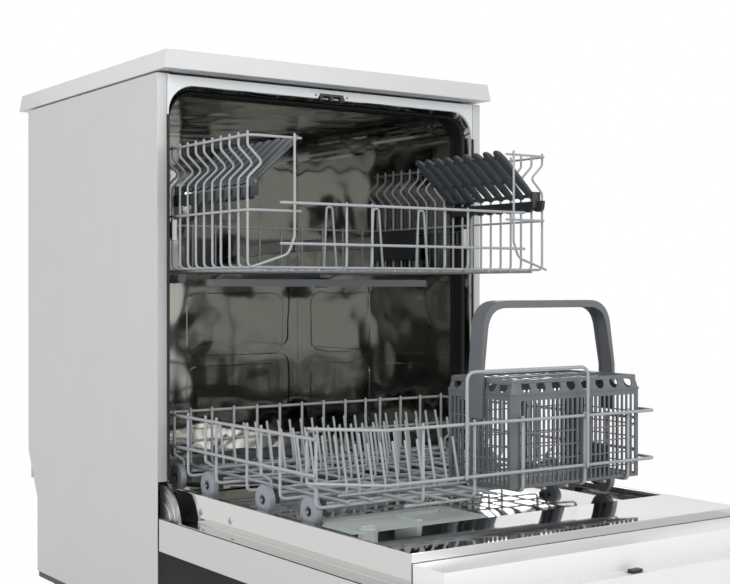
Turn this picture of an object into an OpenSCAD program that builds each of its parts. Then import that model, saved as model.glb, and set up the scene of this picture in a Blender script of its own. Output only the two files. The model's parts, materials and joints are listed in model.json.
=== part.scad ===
// Freestanding dishwasher with its door lowered and both racks drawn out.
// Origin: floor, under the middle of the whole model.
// X runs to the right, Y to the rear, Z up. Millimetres.
// Depths are measured from the cabinet's front plane, and from_front() moves
// each piece so that the middle of the model comes to the origin.

/* [Cabinet] */
// Height from the floor to the top of the worktop
total_h = 850; // [835:1:870]
// How far the worktop stands out over each side of the cabinet
worktop_side = 1; // [0.5:0.5:10]
// How far the worktop stands out behind the cabinet
worktop_tail = 42; // [42:1:60]
// Thickness of the worktop
worktop_t = 28; // [20:1:34]
// How far the worktop stands in front of the cabinet
worktop_nose = 28; // [20:1:32]
// How far the worktop's sides lean in from bottom to top
edge_lean = 4; // [1:0.5:8]
// Width of the plastic edging round the worktop board
edging_w = 24; // [16:1:30]
// Width over the side panels
cabinet_w = 598; // [596:1:604]
// Depth of the side panels
cabinet_d = 510; // [509:1:520]
// Thickness of the painted sheet
skin_t = 1.2; // [0.8:0.1:1.6]
// Dark gap between the cabinet and the worktop
shadow_gap = 3; // [2:0.5:5]
// Width of the side panels' front return
front_return_w = 15.5; // [12:0.5:15.5]
// Width of the side panels' top return
top_return_w = 20; // [16:1:22]
// Height where the front return ends above the hinge
return_foot_z = 232; // [230:1:240]
// Height where the rear edge of a side panel starts to step in
rear_step_z = 228; // [215:1:240]
// How far the rear edge steps in
rear_step_d = 42; // [36:1:42]
// Height of the sloping part of the rear step
rear_step_h = 78; // [60:1:90]
// Clear height under the side panels
panel_foot_z = 24; // [20:1:30]

/* [Base] */
// Height of the base tray's underside
tray_z = 14; // [13:1:16]
// Height of the base tray's walls
tray_h = 122; // [110:1:124]
// Thickness of the base tray
tray_t = 3; // [2:0.5:4]
// Where the base tray starts behind the front plane
tray_front_y = 26; // [24:1:30]
// Radius of a levelling foot's pad
foot_r = 18; // [14:1:20]
// Thickness of a levelling foot's pad
foot_pad_t = 8; // [6:1:9]
// Radius of a levelling foot's stem
foot_stem_r = 5; // [4:0.5:6]
// Thickness of the plinth plate
plinth_t = 2; // [1.5:0.5:3]
// Radius of the drain spigot
drain_r = 9.5; // [8:0.5:11]
// Radius of the threaded water inlet
inlet_r = 13.2; // [12:0.1:14]
// How far the inlet and the drain spigot stand out at the rear
fitting_l = 22; // [16:1:30]
// Depth of the space for the water duct behind the tub
duct_space = 6.5; // [6:0.1:6.8]
// Width of the water duct to the upper spray arm
duct_w = 44; // [36:1:50]
// Radius of the nozzle that feeds the upper spray arm
nozzle_r = 9; // [8:0.5:10]

/* [Tub] */
// Space between the cabinet's side and the inside of the tub
tub_side_gap = 25; // [23:0.5:25]
// How far the inside of the tub reaches behind the side panels
tub_tail = 31; // [30:1:32]
// Width of the plain border round the tub's pressed panels
press_border = 36; // [30:1:44]
// Space between the top of the cabinet and the tub's ceiling
tub_head_gap = 20; // [17:1:23]
// Thickness of the stainless sheet
sheet_t = 1.5; // [1:0.1:1.5]
// Radius of the tub's upper corners
tub_corner_r = 40; // [30:1:50]
// Height of the tracks that the lower wheels run on
track_z = 213; // [213:0.5:213.5]
// Width of a wheel track on the tub floor
track_w = 38; // [36:1:42]
// Depth of the basin between the tracks
basin_d = 35; // [30:1:37]
// How far the pressed panels stand out of the tub's sheet
press_h = 1.5; // [0.8:0.1:2]
// Radius of the sump
sump_r = 92; // [80:1:95]
// Radius of the removable filter cup
filter_r = 30; // [24:1:32]
// Space between the heating element's loop and the basin's sides
heater_gap = 30; // [25:1:40]
// Radius of the heating element's tube
heater_tube_r = 4; // [3:0.5:5]
// Radius of the salt container's cap
salt_cap_r = 26; // [22:1:28]

/* [Door] */
// Length of the door from its hinge to its far edge
door_l = 640; // [636:1:642]
// Thickness of the door's outer shell
door_t = 46; // [40:1:48]
// How far the hinge pins lie below the wheel tracks
hinge_drop = 41; // [40:0.5:41]
// How far the hinge pins lie in front of the front plane
hinge_out = 10; // [10:0.5:12]
// Radius of a hinge pin
hinge_pin_r = 5; // [4:0.5:6]
// Radius of the curved plate of a hinge arm
hinge_plate_r = 55; // [50:1:57]
// How far the liner's floor lies below the wheel tracks in the tub
liner_drop = 1.5; // [1.5:0.1:2]
// How far the liner stands above the outer shell
liner_h = 41; // [41:0.5:42]
// Height of the bead along the liner's sides
liner_bead_h = 8; // [6:0.5:10]
// Width of the bead along the liner's sides
liner_bead_w = 10; // [9:0.5:10]
// Length of the control fascia
fascia_l = 77; // [75:1:83]
// Height of the fascia's step above the outer shell
fascia_step_h = 30; // [24:1:36]
// Thickness of the fascia's moulding
fascia_t = 3; // [2:0.5:4]
// Width of the grip recess in the fascia
grip_w = 180; // [140:1:220]
// Length of the grip recess in the fascia
grip_l = 42; // [34:1:46]
// Depth of the grip recess in the fascia
grip_d = 24; // [18:1:28]
// Radius of a push button
button_r = 7; // [5:0.5:9]
// Travel of a push button
button_travel = 2; // [1:0.25:3]
// Radius of the programme dial
dial_r = 21; // [16:1:24]
// Length of the detergent dispenser
dispenser_l = 190; // [170:1:195]
// Width of the detergent dispenser
dispenser_w = 100; // [90:1:106]
// How far the dispenser stands above the liner
dispenser_h = 9; // [8:0.5:11]
// Travel of the dispenser's sliding lid
lid_travel = 62; // [50:1:66]

/* [Lower rack] */
// Play between the lower rack's side wires and the tub
low_play = 15; // [14.5:0.5:16]
// How far the lower rack is drawn out in front of the front plane
low_front = 421; // [415:1:424]
// How far the lower rack still reaches into the tub
low_rear = 55; // [52:1:60]
// Diameter of the lower rack's coated wires
low_wire = 4.6; // [4:0.1:4.8]
// Height of the lower rack's floor wires above the wheel tracks
low_floor_h = 27; // [27:0.5:28]
// Height of the lower rack's side rim above its floor
low_rim_h = 85; // [78:1:92]
// Height of the lower rack's middle side wire above its floor
low_mid_h = 40; // [36:1:45]
// Height of the lower rack's front rim above its floor
low_front_rim_h = 98; // [94:1:102]
// Height of the lower rack's middle front wire above its floor
low_front_mid_h = 31; // [28:1:34]
// Spacing of the plain upright wires along the sides
low_pitch = 85; // [84:0.5:85]
// Radius of a rack wheel
wheel_r = 19.5; // [18:0.5:19.5]
// Width of a rack wheel
wheel_w = 10; // [8:0.5:11]
// Radius of a wheel's axle
axle_r = 4; // [3:0.5:5]
// Height of the plate tines
tine_h = 62; // [50:1:66]
// Spacing of the plate tines
tine_pitch = 20; // [18:1:24]
// Height of the guard wire before the cutlery basket above the floor wires
guard_h = 164; // [160:1:168]

/* [Upper rack] */
// Play between the upper rack's side wires and the tub
up_play = 12; // [11.5:0.5:13]
// How far the upper rack is drawn out in front of the front plane
up_front = 200; // [195:1:205]
// Depth of the upper rack
up_d = 458; // [456:1:460]
// Diameter of the upper rack's coated wires
up_wire = 3.8; // [3.2:0.1:4]
// How far the upper rack's floor wires hang below the tub's ceiling
up_drop = 261; // [259:0.5:261]
// Height of the upper rack's middle rim above its floor
up_mid_h = 76; // [75:0.5:78]
// Height of the upper rack's top rim above its floor
up_rim_h = 175; // [171:1:178]
// Height of the upper rack's front rim above its floor
up_front_rim_h = 87; // [84:1:90]
// Height of the upper rack's lower front wire above its floor
up_front_mid_h = 32; // [28:1:36]
// Spacing of the side wires
up_pitch = 24.5; // [24:0.5:24.5]
// How far the side wires bend in at the cup shelf
kink_in = 20; // [14:1:20]
// Length of a cup shelf's fingers
finger_l = 98; // [90:1:110]
// Width of a cup shelf's fingers
finger_w = 10; // [8:0.5:12]
// Thickness of a cup shelf's fingers
finger_t = 5; // [4:0.5:6]
// Angle of the cup shelves above level
shelf_tilt = 42; // [38:1:42]
// Radius of a glide in the upper rack's rail
roller_r = 9.5; // [9:0.5:9.5]
// Width of a glide in the upper rack's rail
roller_w = 4.4; // [4:0.2:4.6]

/* [Spray arms] */
// Length of the lower spray arm
low_arm_l = 440; // [400:2:450]
// Length of the upper spray arm
up_arm_l = 420; // [380:2:430]
// Width of the spray arms at the hub
arm_w = 56; // [44:1:60]
// Thickness of the spray arms
arm_t = 11; // [9:0.5:12]

/* [Cutlery basket] */
// Length of the cutlery basket
cutlery_l = 238; // [220:1:240]
// Width of the cutlery basket
cutlery_w = 142; // [130:1:146]
// Height of the cutlery basket
cutlery_h = 142; // [130:1:144]
// Wall thickness of the cutlery basket
cutlery_t = 2.4; // [2:0.2:3]
// Height of the band with round holes
band_h = 20; // [16:1:24]
// Spacing of the upright slots
slot_pitch = 14; // [12:1:18]
// Height of the handle above the basket
handle_h = 102; // [80:1:103]
// Width of the handle's strap
strap_w = 28; // [24:1:36]
// Thickness of the handle's strap
strap_t = 6; // [4:0.5:6]

/* [Hidden] */
$fn = 48;

// Running clearance between a pin and its bore
fit = 0.08;
// Gap between faces that nearly touch
gap = 0.3;
// Depth that crossing wires sink into each other at a weld
weld = 0.5;

// Cabinet
worktop_rear_y = cabinet_d + worktop_tail;
front_y = (door_l + hinge_out - worktop_rear_y) / 2;
half_w = cabinet_w / 2;
worktop_half = half_w + worktop_side;
tub_d = cabinet_d + tub_tail;
worktop_z = total_h - worktop_t;
panel_top_z = worktop_z - shadow_gap;
batten_w = 12;
batten_inset = 40;

// Base
tray_half = half_w - skin_t - 1;
tray_rear_y = cabinet_d - rear_step_d - 2;
tray_top_z = tray_z + tray_h;
foot_inset = 34;
foot_x = tray_half - foot_inset;
foot_y = [tray_front_y + foot_inset, tray_rear_y - foot_inset];
foot_collar_r = 9;
rear_cover_y = tub_d + 0.1 + sheet_t + duct_space + skin_t;
plinth_y = tray_front_y - 6;
plinth_lug_w = 30;
fitting_z = 96;
fitting_collar = 3;
drain_x = half_w - 169;
drain_pump_in = 90;
spring_y = 90;
spring_z = 60;
spring_l = 210;
spring_r = 8;
inlet_x = -half_w + 109;
pillar_w = 20;

// Tub
tub_half = half_w - tub_side_gap;
tub_mid_y = tub_d / 2;
tub_top_z = panel_top_z - tub_head_gap;
basin_z = track_z - basin_d;
liner_z = track_z - liner_drop;
basin_half = tub_half - track_w - 46;
heater_loop_r = basin_half - heater_gap;
flange_y = 0.4;
flange_half = half_w - front_return_w - 0.7;
flange_top_z = panel_top_z - skin_t;
seal_w = 6;
seal_t = 4;
striker_w = 44;
striker_h = 11;
striker_z = tub_top_z + sheet_t + gap;
filter_x = 48;
hub_post_r = 10;
low_arm_z = track_z + 4;

// Door
hinge_y = -hinge_out;
hinge_z = track_z - hinge_drop;
plate_y = hinge_y + 16;
arm_in_x = half_w - 13.5;
arm_plate_t = 4;
bracket_x = arm_in_x + arm_plate_t + 0.5;
bracket_t = 4;
door_half = half_w - 0.5;
door_far_y = hinge_y - door_l;
shell_top_z = track_z + liner_bead_h - liner_h;
shell_z = shell_top_z - door_t;
door_near_y = -4;
fascia_y = door_far_y + fascia_l;
liner_half = tub_half - 2;
liner_near_y = -6;
liner_far_y = fascia_y + 3;
fascia_step_l = 22;
button_y = door_far_y + 24;
button_x = [for (v = [148.5, 108.5, 68.5]) door_half - v];
dial_x = 128.5 - door_half;
dispenser_x = 127 - liner_half;
dispenser_y = -387;
dispenser_rim = 4;
liner_step_y = dispenser_y - dispenser_w / 2 - dispenser_rim - 1;
lid_l = 84;
cap_r = 12;
cap_in = 12;

// Lower rack
low_half = tub_half - low_play;
low_floor_z = track_z + low_floor_h;
low_rim_z = low_floor_z + low_rim_h;
low_mid_z = low_floor_z + low_mid_h;
low_front_rim_z = low_floor_z + low_front_rim_h;
low_front_mid_z = low_floor_z + low_front_mid_h;
guard_z = low_floor_z + guard_h;
rim_off = low_wire - weld;
low_rim_x = low_half + rim_off;
low_front_y = -low_front;
low_rim_front_y = low_front_y - rim_off;
low_chamfer = 58;
low_return = 40;
low_side_end_y = low_front_y + low_chamfer + 4;
low_uprights = [for (k = [0:4]) low_side_end_y + 1 + k * low_pitch];
wheel_y = [low_front_y + 84, low_front_y + 196, low_rear - 126, low_rear - 29];
wheel_z = track_z + gap + wheel_r;
wheel_out_x = low_half - 1.5;
wheel_in_x = wheel_out_x - wheel_w;
clip_x = wheel_in_x - 3.8;
low_spread = (low_half - 43) / 216;
low_long_x = low_spread * [-216, -180, -142, -101, -60, -19, 22, 64, 104, 133, 175, 216];
low_front_x = [for (k = [2, 4, 6, 9, 11]) low_long_x[k]];
low_long_z = low_floor_z + low_wire - weld;
low_top_tip = 6;
tine_near_y = low_front_y + 83;
tine_rows = [for (k = [0:3]) tine_near_y + k * (low_rear - 71 - tine_near_y) / 3];
tine_left_x = 59 - low_half;
tine_right_x = [-20, -20, -tine_left_x, -tine_left_x];

// Upper rack
up_half = tub_half - up_play;
up_floor_z = tub_top_z - up_drop;
up_mid_z = up_floor_z + up_mid_h;
up_rim_z = up_floor_z + up_rim_h;
up_front_rim_z = up_floor_z + up_front_rim_h;
up_front_mid_z = up_floor_z + up_front_mid_h;
up_off = up_wire - weld;
up_rim_x = up_half + up_off;
up_front_y = -up_front;
up_rear_y = up_front_y + up_d;
up_rows = floor((up_d - 8) / up_pitch);
up_side_y = [for (k = [0:up_rows]) up_front_y + 5 + k * up_pitch];
up_long_x = [for (k = [0:11]) (k - 5.5) * (2 * up_half - 48) / 11];
up_post_x = up_half - 67;
up_front_x = [for (k = [3, 4, 7, 8]) up_long_x[k]];
up_long_z = up_floor_z - up_wire + weld;
up_tip = 6;
front_rim_reach = up_half - 44;
front_stub_x = up_half - 80;
kink_top_z = up_floor_z + 162;
kink_foot_z = up_floor_z + 119;
kink_flat = 5;
comb_z = up_floor_z + 94;
comb_h = 13;
comb_t = 6;
axle_x = up_half - 12;
shelf_axle_r = 3;
axle_z = comb_z + comb_h + 8;
fingers = 9;
shelf_ear_t = 3;
shelf_near_y = up_side_y[0] + up_pitch / 2;
shelf_far_y = shelf_near_y + (fingers - 1) * up_pitch;
roller_z = up_floor_z + 56;
roller_y = [up_side_y[13] + up_pitch / 2, up_side_y[17] + up_pitch / 2];
roller_out_x = tub_half - 2;
rail_near_y = 8;
rail_far_y = tub_d - 14;
rail_t = 1.2;
rail_play = 0.5;
rail_w = 7.5;

// Upper spray arm
up_pipe_z = up_long_z - up_wire / 2 - gap;
up_pipe_h = 8;
up_pipe_w = 26;
nozzle_l = 30;
nozzle_y = tub_d - nozzle_l;
up_arm_z = up_pipe_z - up_pipe_h - 1 - arm_t;
up_arm_y = up_front_y + up_d / 2;

// Cutlery basket
cutlery_x = wheel_in_x - 0.5 - cutlery_l;
cutlery_y = low_front_y + low_wire / 2 + 2;
cutlery_z = low_long_z + low_wire / 2 + gap;
cutlery_top_z = cutlery_z + cutlery_h;
cutlery_right_x = cutlery_x + cutlery_l;
cutlery_rear_y = cutlery_y + cutlery_w;
handle_top_z = cutlery_top_z + handle_h;
handle_y = cutlery_y + cutlery_w / 2;
band_ledge = 1.2;
lid_t = 2;
lid_inset = 12;
lid_pin_r = 1.6;
lid_pin_in = 3;
lid_pin_z = cutlery_top_z - 3.5;
lid_bar_w = 5;
guard_x = [cutlery_x - 88, cutlery_x + 122];
notch_x = clip_x - low_wire / 2 - 3;
notch_half = wheel_r - 3.5;
notch_top_z = wheel_z + 34;

// Block between two opposite corners
module block(a, b) translate(a) cube(b - a);

// Moves what is measured from the cabinet's front plane to the model's origin
module from_front() translate([0, front_y, 0]) children();

// Copy of the children on the left and on the right
module both_sides() { children(); mirror([1, 0, 0]) children(); }

// Straight wires of eight flat sides, along each axis
module wire_x(a, b, y, z, d) translate([a, y, z]) rotate([0, 90, 0]) wire_bar(b - a, d);
module wire_y(x, a, b, z, d) translate([x, b, z]) rotate([90, 0, 0]) wire_bar(b - a, d);
module wire_z(x, y, a, b, d) translate([x, y, a]) wire_bar(b - a, d);
module wire_bar(l, d) rotate([0, 0, 22.5]) cylinder(h = l, d = d / cos(22.5), $fn = 8);

// Outline of a bent strip of a given half width round a list of points
function unit(v) = v / norm(v);
function side_of(a, b) = let (u = unit(b - a)) [-u[1], u[0]];
function offset_point(p, i, w) =
    i == 0 ? p[0] + w * side_of(p[0], p[1])
    : i == len(p) - 1 ? p[i] + w * side_of(p[i - 1], p[i])
    : let (m = unit(side_of(p[i - 1], p[i]) + side_of(p[i], p[i + 1])))
      p[i] + m * w / (m * side_of(p[i], p[i + 1]));
function strip(p, w) = concat(
    [for (i = [0:len(p) - 1]) offset_point(p, i, w)],
    [for (i = [len(p) - 1:-1:0]) offset_point(p, i, -w)]);

// Bent wires of square section, in an upright or a level plane
module bent_xz(p, y, d) translate([0, y + d / 2, 0]) rotate([90, 0, 0])
    linear_extrude(d) polygon(strip(p, d / 2));
module bent_yz(p, x, d) translate([x - d / 2, 0, 0]) rotate([90, 0, 90])
    linear_extrude(d) polygon(strip(p, d / 2));
module bent_xy(p, z, d) translate([0, 0, z - d / 2])
    linear_extrude(d) polygon(strip(p, d / 2));

// Plane shape in Y and Z, made solid from x = a to x = b
module solid_yz(a, b) translate([a, 0, 0]) rotate([90, 0, 90]) linear_extrude(b - a) children();
// Plane shape in X and Z, made solid from y = a to y = b
module solid_xz(a, b) translate([0, b, 0]) rotate([90, 0, 0]) linear_extrude(b - a) children();

// Flat rectangle with round corners, made of plain squares and circles
module round_rect(a, b, r) {
    translate([a[0] + r, a[1]]) square([b[0] - a[0] - 2 * r, b[1] - a[1]]);
    translate([a[0], a[1] + r]) square([b[0] - a[0], b[1] - a[1] - 2 * r]);
    for (x = [a[0] + r, b[0] - r], y = [a[1] + r, b[1] - r]) translate([x, y]) circle(r);
}

module worktop_board() color("gainsboro") from_front() {
    e = edging_w + gap / 2;
    block([-worktop_half + e, -worktop_nose + e, worktop_z],
        [worktop_half - e, worktop_rear_y - e, total_h]);
    both_sides() block([half_w - top_return_w, batten_inset, panel_top_z + gap],
        [half_w - top_return_w + batten_w, cabinet_d - batten_inset, worktop_z]);
}

module worktop_edging() color("silver") from_front() {
    w = worktop_half;
    difference() {
        hull() {
            block([-w, -worktop_nose, worktop_z], [w, worktop_rear_y, worktop_z + 1]);
            block([-w + edge_lean, -worktop_nose + edge_lean, total_h - 1],
                [w - edge_lean, worktop_rear_y - edge_lean, total_h]);
        }
        block([-w + edging_w, -worktop_nose + edging_w, worktop_z - 1],
            [w - edging_w, worktop_rear_y - edging_w, total_h + 1]);
    }
}

module side_panels() color("lightgray") from_front() both_sides() side_panel();

module side_panel() {
    step_y = cabinet_d - rear_step_d;
    solid_yz(-half_w, -half_w + skin_t) polygon([
        [0, panel_foot_z], [0, panel_top_z], [cabinet_d, panel_top_z], [cabinet_d, rear_step_z],
        [step_y, rear_step_z - rear_step_h], [step_y, panel_foot_z]]);
    block([-half_w, 0, return_foot_z], [-half_w + front_return_w, skin_t, panel_top_z]);
    block([-half_w, 0, panel_top_z - skin_t], [-half_w + top_return_w, cabinet_d, panel_top_z]);
    block([-half_w, cabinet_d - skin_t, rear_step_z],
        [-half_w + top_return_w, cabinet_d, panel_top_z]);
}

module rear_panel() color("darkgray") from_front() {
    r = half_w - skin_t;
    x = tub_half + sheet_t + 2;
    y = cabinet_d + gap;
    foot_z = basin_z - sheet_t - 2;
    difference() {
        union() {
            block([-r, y, rear_step_z], [r, y + skin_t, panel_top_z]);
            block([-x - skin_t, y, foot_z - skin_t], [x + skin_t, rear_cover_y, tub_top_z + 8]);
        }
        block([-x, y - 1, foot_z], [x, rear_cover_y - skin_t, tub_top_z + 8 - skin_t]);
        block([-duct_w / 2 - 3, y - 1, foot_z - 5], [duct_w / 2 + 3, rear_cover_y - skin_t,
            foot_z + 1]);
        for (x = [-1, 0, 1], z = [0:2])
            translate([x * 150, rear_cover_y, rear_step_z + 60 + 24 * z])
                rotate([-90, 0, 0]) cylinder(h = 10, r = 4, center = true);
    }
}

// Duct that takes water from the sump up behind the tub to the upper spray arm
module supply_duct() color("gray") from_front() {
    x = duct_w / 2;
    y = tub_d + 0.1 + sheet_t + gap;
    z = up_pipe_z - up_pipe_h / 2;
    top_z = basin_z - sheet_t - 5;
    block([-x, y, top_z - 16], [x, rear_cover_y - skin_t - gap, z + 26]);
    block([-x, tub_mid_y + sump_r + gap, top_z - 16], [x, y + 1, top_z]);
    translate([0, nozzle_y, z]) rotate([-90, 0, 0]) cylinder(h = y - nozzle_y + 1, r = nozzle_r);
}

module base_tray() color("dimgray") from_front() {
    pillar_x = tub_half - 4;
    difference() {
        block([-tray_half, tray_front_y, tray_z], [tray_half, tray_rear_y, tray_top_z]);
        block([-tray_half + tray_t, tray_front_y + tray_t, tray_z + tray_t],
            [tray_half - tray_t, tray_rear_y - tray_t, tray_top_z + 1]);
        for (x = [-foot_x, foot_x], y = foot_y) translate([x, y, tray_z - 1])
            cylinder(h = tray_t + 2, r = foot_stem_r + fit);
        translate([drain_x, tray_rear_y - tray_t - 1, fitting_z]) rotate([-90, 0, 0])
            cylinder(h = tray_t + 2, r = drain_r + fitting_collar + gap);
        translate([inlet_x, tray_rear_y - tray_t - 1, fitting_z]) rotate([-90, 0, 0])
            cylinder(h = tray_t + 2, r = inlet_r + fitting_collar + gap);
    }
    both_sides() for (y = [tray_front_y + tray_t, tray_rear_y - tray_t - pillar_w])
        block([pillar_x - pillar_w, y, tray_z + tray_t],
            [pillar_x, y + pillar_w, track_z - sheet_t - gap]);
}

module plinth() color("dimgray") from_front() {
    block([-tray_half, plinth_y, panel_foot_z], [tray_half, plinth_y + plinth_t, tray_top_z - 8]);
    both_sides() block([tray_half - 80, plinth_y + plinth_t, panel_foot_z + 20],
        [tray_half - 80 + plinth_lug_w, tray_front_y - gap, tray_top_z - 30]);
}

module foot() color("black") {
    cylinder(h = foot_pad_t, r = foot_r);
    cylinder(h = tray_z - gap, r = foot_collar_r);
    cylinder(h = tray_z + 30, r = foot_stem_r);
}
module foot_front_left() from_front() translate([-foot_x, foot_y[0], 0]) foot();
module foot_front_right() from_front() translate([foot_x, foot_y[0], 0]) foot();
module rear_feet() from_front() both_sides() translate([foot_x, foot_y[1], 0]) foot();

// Pump that feeds the spray arms, and beside it the pump that empties the machine
module pumps() color("slategray") from_front() {
    z = tray_z + tray_t + gap;
    r = 34;
    translate([-70, tub_mid_y, z + r + 4]) rotate([0, 90, 0]) cylinder(h = 96, r = r);
    translate([26, tub_mid_y, z + r + 4]) rotate([0, 90, 0]) cylinder(h = 22, r = r + 3);
    for (x = [-58, 6]) block([x, tub_mid_y - 26, z], [x + 14, tub_mid_y + 26, z + 16]);
    y = tray_rear_y - drain_pump_in;
    translate([drain_x, y, z]) cylinder(h = 50, r = 27);
    translate([drain_x, y, fitting_z]) rotate([-90, 0, 0]) {
        cylinder(h = cabinet_d - y, r = drain_r + fitting_collar);
        cylinder(h = cabinet_d + fitting_l - y, r = drain_r);
    }
    translate([drain_x, y, z + 40]) cylinder(h = fitting_z - z - 40 + drain_r, r = 16);
}

module inlet_valve() color("white") from_front() {
    y = tray_rear_y - tray_t - gap;
    block([inlet_x - 22, y - 46, fitting_z - 20], [inlet_x + 22, y, fitting_z + 20]);
    block([inlet_x - 16, y - 46, tray_z + tray_t + gap], [inlet_x + 16, y - 30, fitting_z]);
    translate([inlet_x, y - 1, fitting_z]) rotate([-90, 0, 0]) {
        cylinder(h = cabinet_d - y + 1, r = inlet_r + fitting_collar);
        cylinder(h = cabinet_d + fitting_l - y + 1, r = inlet_r);
    }
}

module door_springs() color("silver") from_front() both_sides() {
    x = tray_half - tray_t - spring_r - 4;
    translate([x, spring_y, spring_z]) rotate([-90, 0, 0]) cylinder(h = spring_l, r = spring_r);
    for (y = [spring_y, spring_y + spring_l - 8]) block([x - 3, y, spring_z - spring_r],
        [tray_half - tray_t - gap, y + 8, spring_z + spring_r]);
}

module hinge_brackets() color("silver") from_front() both_sides() {
    difference() {
        block([bracket_x, hinge_y - 13, tray_top_z + gap],
            [bracket_x + bracket_t, 60, hinge_z + 8]);
        block([bracket_x - 1, 30, tray_top_z + 24], [bracket_x + bracket_t + 1, 61, hinge_z + 9]);
    }
    translate([arm_in_x - 2, hinge_y, hinge_z]) rotate([0, 90, 0])
        cylinder(h = bracket_x - arm_in_x + 2.5, r = hinge_pin_r);
}

// One side wall of the tub, with its share of the rounded ceiling
module tub_wall() {
    r = tub_corner_r;
    solid_xz(flange_y + sheet_t + gap, tub_d) {
        translate([tub_half, track_z + gap]) square([sheet_t, tub_top_z - r - track_z - gap]);
        translate([tub_half - r, tub_top_z - r]) intersection() {
            difference() { circle(r + sheet_t); circle(r); }
            square(r + sheet_t);
        }
    }
    a = track_z + 37;
    b = up_floor_z - 18;
    for (y = [[press_border, tub_mid_y - 18], [tub_mid_y + 18, tub_d - press_border]],
            z = [[a, (a + b) / 2 - 10], [(a + b) / 2 + 10, b]])
        solid_yz(tub_half - press_h, tub_half) round_rect([y[0], z[0]], [y[1], z[1]], 22);
}
module tub_sides() color("silver") from_front() both_sides() tub_wall();

module tub_ceiling() color("silver") from_front() {
    w = tub_half - tub_corner_r - 0.1;
    block([-w, flange_y + sheet_t + gap, tub_top_z], [w, tub_d, tub_top_z + sheet_t]);
}

module tub_rear() color("silver") from_front() {
    y = tub_d + 0.1;
    difference() {
        block([-tub_half - sheet_t, y, basin_z - sheet_t], [tub_half + sheet_t, y + sheet_t,
            tub_top_z + sheet_t]);
        translate([0, y - 1, up_pipe_z - up_pipe_h / 2]) rotate([-90, 0, 0])
            cylinder(h = sheet_t + 2, r = nozzle_r + gap);
    }
    a = track_z + 27;
    b = up_floor_z - 38;
    for (x = [[-tub_half + press_border, -25], [25, tub_half - press_border]],
            z = [[a, (a + b) / 2 - 10], [(a + b) / 2 + 10, b]])
        solid_xz(y - press_h, y) round_rect([x[0], z[0]], [x[1], z[1]], 24);
}

module tub_floor() color("silver") from_front() {
    w = tub_half - 0.1;
    p = [[-w, track_z], [-w + track_w, track_z], [-basin_half, basin_z], [basin_half, basin_z],
        [w - track_w, track_z], [w, track_z]];
    y = flange_y + sheet_t + gap;
    difference() {
        union() {
            solid_xz(y, tub_d) polygon(concat(p, [for (i = [5:-1:0]) p[i] - [0, sheet_t]]));
            solid_xz(y, y + sheet_t) polygon([p[1], p[2], p[3], p[4]]);
            translate([-basin_half + 44, 92, basin_z]) cylinder(h = 8, r = salt_cap_r);
        }
        translate([0, tub_mid_y, basin_z - 9]) cylinder(h = 10, r = sump_r + gap);
        both_sides() translate([heater_loop_r * sin(20), tub_mid_y + heater_loop_r * cos(20),
            basin_z - 9]) cylinder(h = 10, r = heater_tube_r + 1.5 + gap);
    }
}

module tub_flange() color("aliceblue") from_front() {
    r = tub_corner_r;
    solid_xz(flange_y, flange_y + sheet_t) difference() {
        translate([-flange_half, return_foot_z]) square([2 * flange_half,
            flange_top_z - return_foot_z]);
        translate([-tub_half, return_foot_z - 1]) square([2 * tub_half,
            tub_top_z - r - return_foot_z + 1]);
        translate([-tub_half + r, tub_top_z - r - 1]) square([2 * (tub_half - r), r + 1]);
        both_sides() translate([tub_half - r, tub_top_z - r]) circle(r);
        translate([-striker_w / 2 - gap, tub_top_z - 1]) square([striker_w + 2 * gap,
            striker_z + striker_h + gap + 1 - tub_top_z]);
        both_sides() translate([striker_w / 2 + 6, tub_top_z + 10]) circle(2);
    }
}

module side_seals() color("black") from_front() both_sides()
    block([tub_half + 1.5, flange_y - gap - seal_t, return_foot_z + 2],
        [tub_half + 1.5 + seal_w, flange_y - gap, tub_top_z - 16]);

module door_striker() color("dimgray") from_front() difference() {
    block([-striker_w / 2, -1, striker_z], [striker_w / 2, 9, striker_z + striker_h]);
    both_sides() block([3, -2, striker_z - 1], [striker_w / 2 - 6, 7, striker_z + 7]);
}

module sump() color("gray") from_front() translate([0, tub_mid_y, 0]) {
    foot_z = tray_z + tray_t + 80;
    difference() {
        union() {
            translate([0, 0, foot_z]) cylinder(h = basin_z - foot_z + gap, r = sump_r);
            translate([0, 0, basin_z + gap]) cylinder(h = 2, r = sump_r + 8);
        }
        translate([0, 0, foot_z + 3]) cylinder(h = basin_z - foot_z - 5, r = sump_r - 3);
        translate([filter_x, 0, basin_z - 6]) cylinder(h = 12, r = filter_r + gap);
        both_sides() translate([30, 62, basin_z - 6]) cylinder(h = 12, r = 10);
    }
    translate([0, 0, basin_z + 2])
        cylinder(h = low_arm_z + arm_t - 1 - gap - basin_z, r = hub_post_r);
}

module filter_cup() color("dimgray") from_front() translate([filter_x, tub_mid_y, 0]) {
    z = basin_z + 2 + 2 * gap;
    translate([0, 0, basin_z - 54]) cylinder(h = 64 + gap, r = filter_r);
    translate([0, 0, z]) cylinder(h = 3, r = filter_r + 4);
    block([-16, -3, z + 3], [16, 3, z + 16]);
}

module heater() color("darkgray") from_front() translate([0, tub_mid_y, basin_z + 14]) {
    r = heater_loop_r;
    rotate([0, 0, 110]) rotate_extrude(angle = 320) translate([r, 0]) circle(heater_tube_r);
    both_sides() translate([r * sin(20), r * cos(20), -34])
        cylinder(h = 34 + heater_tube_r + 1, r = heater_tube_r + 1.5);
}

module salt_cap() color("white") from_front() translate([-basin_half + 44, 92, basin_z + 8 + gap]) {
    cylinder(h = 8, r = salt_cap_r - 2);
    block([-16, -3, 7], [16, 3, 15]);
}

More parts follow.
